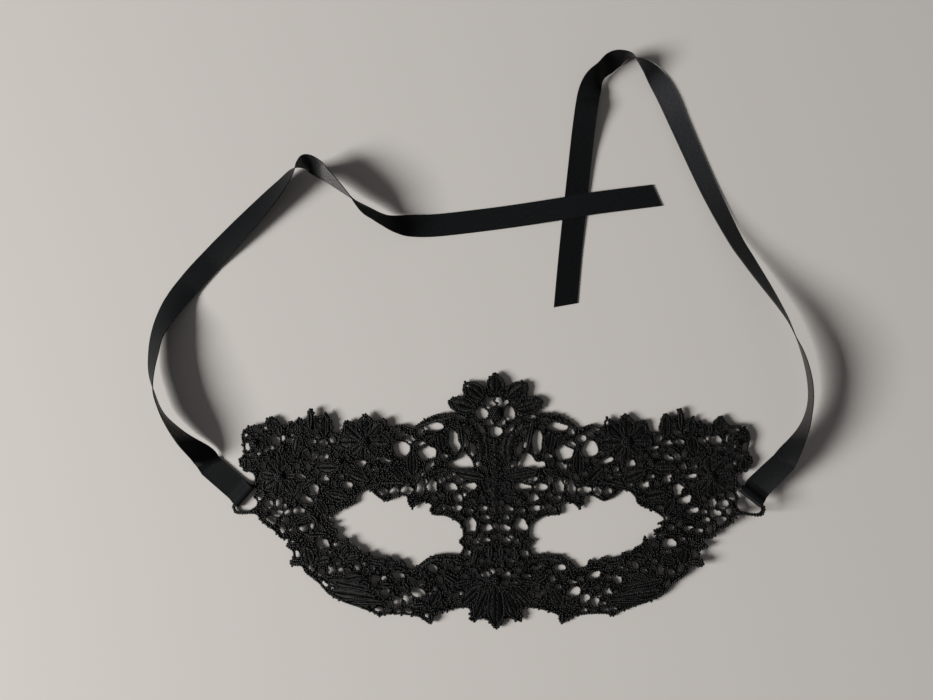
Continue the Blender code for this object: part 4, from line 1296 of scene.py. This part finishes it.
@dataclass
class Filling:
    """The short stitches that fill the ground and flow round its openings."""

    pattern: Pattern
    finish: bpy.types.Material
    spacing: float = 0.98 * MM
    length: float = 1.65 * MM
    width: float = 0.70 * MM
    height: float = 0.62 * MM
    middle: float = 1.00 * MM
    clear: float = 0.80 * MM
    stray: float = 0.42
    turn: float = 0.75
    tip: float = 0.06
    uneven: float = 0.45 * MM
    grain: tuple[int, int] = (5, 3)
    seed: int = 11

    def build(self) -> list[bpy.types.Object]:
        """Lays the filling.

        Returns:
            One piece for each side.
        """
        rng = np.random.default_rng(self.seed)
        rings = [self.pattern.outline, *self.pattern.eyes, *self.pattern.openings]
        rims = np.vstack(rings)
        ways = np.vstack([directions(ring) for ring in rings])
        tree = tree_of(rims)
        spots = grid_over(rims, self.spacing)
        spots += rng.uniform(-self.stray, self.stray, spots.shape) * self.spacing
        leaves = wide_leaves()
        books = side_books("lace_filling", *self.grain)
        for x, y in spots[self.pattern.holds(spots)]:
            _, index, distance = tree.find((x, y, 0.0))
            if distance < self.clear or any(leaf.covers(Vector((x, y))) for leaf in leaves):
                continue
            way = swung(*ways[index], rng.normal(0, self.turn))
            tip = rng.normal(0, self.tip)
            high = self.middle + rng.uniform(0, self.uneven)
            size = (self.length, self.width, self.height)
            books[Side.RIGHT if x > 0 else Side.LEFT].lay((x, y), high, way, size, tip)
        return [book.piece(self.finish) for book in books.values()]


@dataclass(frozen=True)
class Route:
    """Where a ribbon runs: its side, its direction at the tie bar and the points it passes.

    Each point is x and y from the tie bar's middle and the lower edge's height, in millimetres, and the
    ribbon's roll about its own line in degrees: 0 is flat, 90 stands on its edge, 180 is on its other face.
    The seam, where the folded end is sewn down, has such a height and roll too.
    """

    name: str
    side: Side
    leaves_at: float
    seam_lift: float
    seam_roll: float
    points: tuple
    end_slant: float


LEFT_ROUTE = Route("ribbon_left", Side.LEFT, 140.0, 0.0, 0.0, (
    (-17.0, 17.3, 0.8, 40), (-24.0, 23.7, 1.6, 70), (-29.7, 29.9, 2.2, 90),
    (-34.2, 36.2, 2.5, 104), (-37.2, 43.7, 2.6, 110), (-38.8, 52.2, 2.6, 126),
    (-38.6, 60.7, 2.4, 137), (-37.7, 68.1, 2.0, 143), (-35.3, 75.6, 1.5, 156),
    (-31.8, 82.8, 1.0, 170), (-26.5, 90.5, 0.6, 180), (-17.9, 100.7, 0.5, 180),
    (-7.0, 112.3, 0.8, 169), (5.3, 125.1, 1.0, 154), (14.0, 134.2, 1.6, 136),
    (18.9, 139.7, 2.4, 120), (22.3, 141.9, 3.0, 92), (25.8, 142.4, 3.4, 61),
    (30.6, 139.8, 3.6, 58), (34.2, 136.8, 3.6, 69), (38.6, 133.0, 3.6, 79),
    (44.5, 127.7, 3.5, 94), (51.1, 122.0, 3.2, 119), (55.8, 119.3, 2.6, 124),
    (59.7, 117.7, 2.0, 133), (64.5, 116.7, 1.4, 153), (70.5, 116.5, 1.2, 175),
    (82.7, 117.2, 0.2, 180), (109.2, 120.4, 0.2, 180), (135.6, 124.2, 1.0, 180),
    (149.7, 126.7, 1.0, 180), (178.4, 130.6, 0.2, 180),
), 0.0014)
RIGHT_ROUTE = Route("ribbon_right", Side.RIGHT, 48.0, 3.6, -45.0, (
    (15.5, 19.0, 3.9, -60), (18.2, 23.4, 4.2, -76), (21.1, 28.7, 4.6, -90),
    (23.1, 34.5, 5.0, -100), (24.2, 40.8, 5.4, -104), (24.0, 47.8, 5.8, -105),
    (22.8, 54.9, 6.0, -107), (21.1, 61.1, 6.0, -110), (19.1, 66.6, 5.8, -115),
    (16.4, 73.8, 5.4, -119), (13.2, 80.3, 4.8, -125), (9.7, 86.9, 4.0, -132),
    (6.0, 93.6, 3.2, -138), (2.4, 100.4, 2.2, -143), (-3.1, 111.0, 1.0, -149),
    (-12.4, 132.4, 0.2, -160), (-23.7, 159.7, 0.4, -165), (-29.2, 173.9, 0.5, -171),
    (-33.8, 182.5, 0.5, -166), (-38.5, 188.0, 0.4, -148), (-45.0, 191.8, 0.2, -116),
    (-50.6, 191.0, 0.3, -75), (-55.3, 189.4, 0.4, -53), (-60.0, 184.9, 1.0, -58),
    (-63.6, 179.6, 2.4, -22), (-65.6, 172.2, 3.0, 4), (-67.3, 159.9, 1.4, 5),
    (-69.1, 144.1, 0.5, 2), (-73.5, 106.1, 0.0, 0), (-76.0, 81.6, 0.0, 0),
), -0.0014)


@dataclass(frozen=True)
class Station:
    """One place along a ribbon: its middle, the way across it and the way out of its face."""

    middle: np.ndarray
    across: np.ndarray
    face: np.ndarray

    def layer(self, off: float) -> "Station":
        """The same place in a layer that lies a distance off along the face."""
        return Station(self.middle + self.face * off, self.across, self.face)

    def turned(self) -> "Station":
        """The same place with its face turned over."""
        return Station(self.middle, self.across, -self.face)


@dataclass
class Ribbon:
    """A satin tie ribbon: folded round the tie bar, sewn, and lying in its twists to its cut end."""

    route: Route
    finish: bpy.types.Material
    width: float = 10.0 * MM
    thickness: float = 0.32 * MM
    solid_thickness: float = 0.40 * MM
    floor_gap: float = 0.05 * MM
    bar_reach: float = 1.1 * MM
    bar_top: float = 2.15 * MM
    fold_end: float = 5.4 * MM
    doubled: float = 19.6 * MM
    over_bar: float = 0.25 * MM
    behind_bar: float = 0.1 * MM
    fold_turn: float = 60.0
    fold_points: int = 5
    fold_steps: int = 4
    steps: int = 8
    columns: int = 12
    hem_from: float = 0.9
    hem_thickness: float = 1.15
    middle_thickness: float = 0.85
    crease: float = math.radians(50)

    def stations(self) -> list[Station]:
        """Runs the whole ribbon.

        Returns:
            Its stations, from its turned-in end to its cut end.
        """
        side = self.route.side
        start = np.array([BAR_MIDDLE[0] * side.value * MM, BAR_MIDDLE[1] * MM, 0.0])
        angle = math.radians(self.route.leaves_at)
        out = np.array([math.cos(angle), math.sin(angle), 0.0])
        left = np.array([-out[1], out[0], 0.0])
        slope = (bar_curl(BAR_HALF) - bar_curl(-BAR_HALF)) / (2 * BAR_HALF) if side is Side.RIGHT else 0.0
        roll = -math.atan(slope)
        raised = bar_curl(0.0) * MM if side is Side.RIGHT else 0.0
        tipped = left * math.cos(roll) + UP * math.sin(roll)
        fold = []
        profile = self.fold_profile()
        for index, (away, high) in enumerate(profile):
            before, after = profile[max(index - 1, 0)], profile[min(index + 1, len(profile) - 1)]
            way = out * (after[0] - before[0]) + UP * (after[1] - before[1])
            face = np.cross(way / np.linalg.norm(way), tipped)
            fold.append(Station(start + out * away + UP * (high + raised), tipped, face))
        stack = self.stack(start, out, raised - self.width / 2 * abs(math.sin(roll)), roll)
        half = self.solid_thickness / 2
        turned_in = [place.layer(-half).turned() for place in reversed(stack)]
        upper = [place.layer(half) for place in stack]
        return turned_in + fold + upper + self.loose(start, upper[-1].middle)

    def fold_profile(self) -> list[tuple[float, float]]:
        """Draws the fold as seen from the ribbon's edge.

        Returns:
            Each place's distance from the bar and its height, the lower layer first.
        """
        low = self.floor_gap + self.solid_thickness / 2
        top = self.bar_top + self.over_bar
        ground = low + self.solid_thickness
        points = [(self.fold_end, low), (4 * MM, low), (self.bar_reach, low)]
        middle = (low + top) / 2
        for turn in np.linspace(-self.fold_turn, self.fold_turn, self.fold_points):
            lean = math.radians(turn)
            away = -self.bar_reach * math.cos(lean) - self.behind_bar
            points.append((away, middle + (top - low) / 2 * math.sin(lean)))
        points += [(0.2 * MM, top), (1.6 * MM, top - self.over_bar), (3.4 * MM, ground + 0.35 * MM)]
        points.append((self.fold_end, ground))
        return smooth_rows(points, self.fold_steps)

    def stack(self, start: np.ndarray, out: np.ndarray, lowest: float, roll: float) -> list[Station]:
        """The two layers' common line from the fold to the seam.

        Args:
            start: the tie bar's middle.
            out: the way that the ribbon leaves it.
            lowest: the lower edge's height at the fold, in metres.
            roll: the roll at the fold, in radians.

        Returns:
            The stations after the fold, the seam's last.
        """
        near, far = start + out * self.fold_end, start + out * self.doubled
        rows = [
            (near[0], near[1], lowest, roll),
            (far[0], far[1], self.route.seam_lift * MM, math.radians(self.route.seam_roll)),
        ]
        return self.along(rows, 2 * self.steps, self.solid_thickness)

    def loose(self, start: np.ndarray, seam: np.ndarray) -> list[Station]:
        """Runs the loose length, from the seam to the cut.

        Args:
            start: the tie bar's middle.
            seam: the last station's middle before it.

        Returns:
            Its stations.
        """
        roll = math.radians(self.route.seam_roll)
        lowest = self.route.seam_lift * MM + self.solid_thickness * math.cos(roll)
        rows = [(seam[0], seam[1], lowest, roll)]
        for x, y, high, turn in self.route.points:
            rows.append((start[0] + x * MM, start[1] + y * MM, high * MM, math.radians(turn)))
        return self.along(rows, self.steps, self.solid_thickness / 2)

    def along(self, rows: list[tuple], steps: int, half_thick: float) -> list[Station]:
        """Stations along rows of x, y, the lower edge's height and the roll.

        Args:
            rows: the rows, in metres and radians.
            steps: how many steps each stretch gets.
            half_thick: half the thickness that stands on the surface.

        Returns:
            The stations after the first row.
        """
        line = smooth_rows(rows, steps)
        found = []
        for index in range(1, len(line)):
            x, y, high, roll = line[index]
            before, after = line[index - 1], line[min(index + 1, len(line) - 1)]
            way = np.array([after[0] - before[0], after[1] - before[1], 0.0])
            way /= np.linalg.norm(way)
            left = np.array([-way[1], way[0], 0.0])
            middle = self.floor_gap + max(high, 0) + self.width / 2 * abs(math.sin(roll))
            middle += half_thick * abs(math.cos(roll))
            across = left * math.cos(roll) + UP * math.sin(roll)
            face = UP * math.cos(roll) - left * math.sin(roll)
            found.append(Station(np.array([x, y, middle]), across, face))
        return found

    def piece(self) -> bpy.types.Object:
        """Weaves the ribbon: a grid of points on both faces, closed along its edges and at both ends.

        Returns:
            The piece, on the body and in place of its solid.
        """
        stations = self.stations()
        shares = np.linspace(1, -1, self.columns + 1)
        ring = 2 * (self.columns + 1)
        points, uvs = [], []
        gone = 0.0
        for index, station in enumerate(stations):
            if index:
                gone += float(np.linalg.norm(station.middle - stations[index - 1].middle))
            slant = np.zeros(3)
            if index == len(stations) - 1:
                way = station.middle - stations[index - 1].middle
                slant = way / np.linalg.norm(way) * self.route.end_slant
            for face in (1, -1):
                for share in shares[::face]:
                    thick = self.thickness / 2 * self.middle_thickness
                    if abs(share) > self.hem_from:
                        thick = self.thickness / 2 * self.hem_thickness
                    points.append(station.middle + (station.across * self.width / 2 + slant) * share
                                  + station.face * thick * face)
                    uvs.append((gone / MM, share * self.width / 2 / MM + (BACK_SHIFT if face < 0 else 0.0)))
        faces = []
        for row in range(len(stations) - 1):
            for i in range(ring):
                j = (i + 1) % ring
                faces.append((row * ring + i, row * ring + j, (row + 1) * ring + j, (row + 1) * ring + i))
        faces.append(tuple(range(ring)))
        faces.append(tuple(reversed(range((len(stations) - 1) * ring, len(stations) * ring))))
        data = bpy.data.meshes.new(self.route.name + "_satin")
        data.from_pydata([tuple(point) for point in points], [], faces)
        layer = data.uv_layers.new(name=RIBBON_MAP)
        for loop in data.loops:
            layer.data[loop.index].uv = uvs[loop.vertex_index]
        data.materials.append(self.finish)
        made = bpy.data.objects.new(self.route.name + "_satin", data)
        bpy.context.scene.collection.objects.link(made)
        take(made)
        bpy.ops.object.mode_set(mode="EDIT")
        bpy.ops.mesh.select_all(action="SELECT")
        bpy.ops.mesh.normals_make_consistent(inside=False)
        bpy.ops.object.mode_set(mode="OBJECT")
        bpy.ops.object.shade_smooth_by_angle(angle=self.crease)
        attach(made, BODY)
        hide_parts(self.route.name)
        turned = 2 * self.steps + len(self.fold_profile()) // 2
        return made


@dataclass
class Studio:
    """The pale floor, the soft light from the left and the camera."""

    floor_size: float = 6.0
    floor_colour: Colour = (0.60, 0.575, 0.55)
    floor_roughness: float = 0.8
    floor_specular: float = 0.5
    camera_at: tuple[float, float, float] = (-0.0124, 0.0368, 0.3043)
    camera_tilt: float = math.radians(5.0)
    lens: float = 27.2
    sensor: float = 36.0
    nearest: float = 0.01
    key_at: tuple[float, float, float] = (-2.60, -0.62, 1.37)
    key_size: float = 1.0
    key_power: float = 150.0
    key_colour: Colour = (1.0, 0.985, 0.965)
    sky: float = 0.10
    sky_colour: Colour = (1.0, 0.97, 0.95)

    def build(self) -> None:
        """Lays the floor, hangs the light and sets the camera."""
        deselect()
        bpy.ops.mesh.primitive_plane_add(size=self.floor_size)
        floor = bpy.context.object
        floor.name = "floor"
        paint = Bench("pale_floor", self.floor_roughness, self.floor_specular)
        paint.colour((*self.floor_colour, 1))
        floor.data.materials.append(paint.made)
        light = bpy.data.lights.new("window", "AREA")
        light.energy = self.key_power
        light.size = self.key_size
        light.color = self.key_colour
        window = bpy.data.objects.new("window", light)
        window.location = self.key_at
        window.rotation_euler = (-Vector(self.key_at)).to_track_quat("-Z", "Y").to_euler()
        bpy.context.scene.collection.objects.link(window)
        world = bpy.data.worlds.new("room")
        world.use_nodes = True
        background = world.node_tree.nodes["Background"]
        background.inputs["Color"].default_value = (*self.sky_colour, 1)
        background.inputs["Strength"].default_value = self.sky
        bpy.context.scene.world = world
        bpy.context.scene.view_settings.view_transform = "Standard"
        lens = bpy.data.cameras.new("camera")
        lens.lens = self.lens
        lens.sensor_width = self.sensor
        lens.clip_start = self.nearest
        camera = bpy.data.objects.new("camera", lens)
        camera.location = self.camera_at
        camera.rotation_euler = (self.camera_tilt, 0.0, 0.0)
        bpy.context.scene.collection.objects.link(camera)
        bpy.context.scene.camera = camera


def main() -> None:
    """Builds the studio and every piece."""
    logging.basicConfig(level=logging.INFO)
    Studio().build()
    Ribbon(LEFT_ROUTE, LEFT_SATIN.material()).piece()
    Ribbon(RIGHT_ROUTE, RIGHT_SATIN.material()).piece()
    thread = Thread().material()
    pattern = Pattern()
    LOG.info("%d openings, %d eyes", len(pattern.openings), len(pattern.eyes))
    Net(pattern, thread).build()
    Cording(pattern, thread).build()
    Foliage(thread).build()
    Bosses(thread).build()
    Filling(pattern, thread).build()
    deselect()


if __name__ == "__main__":
    main()
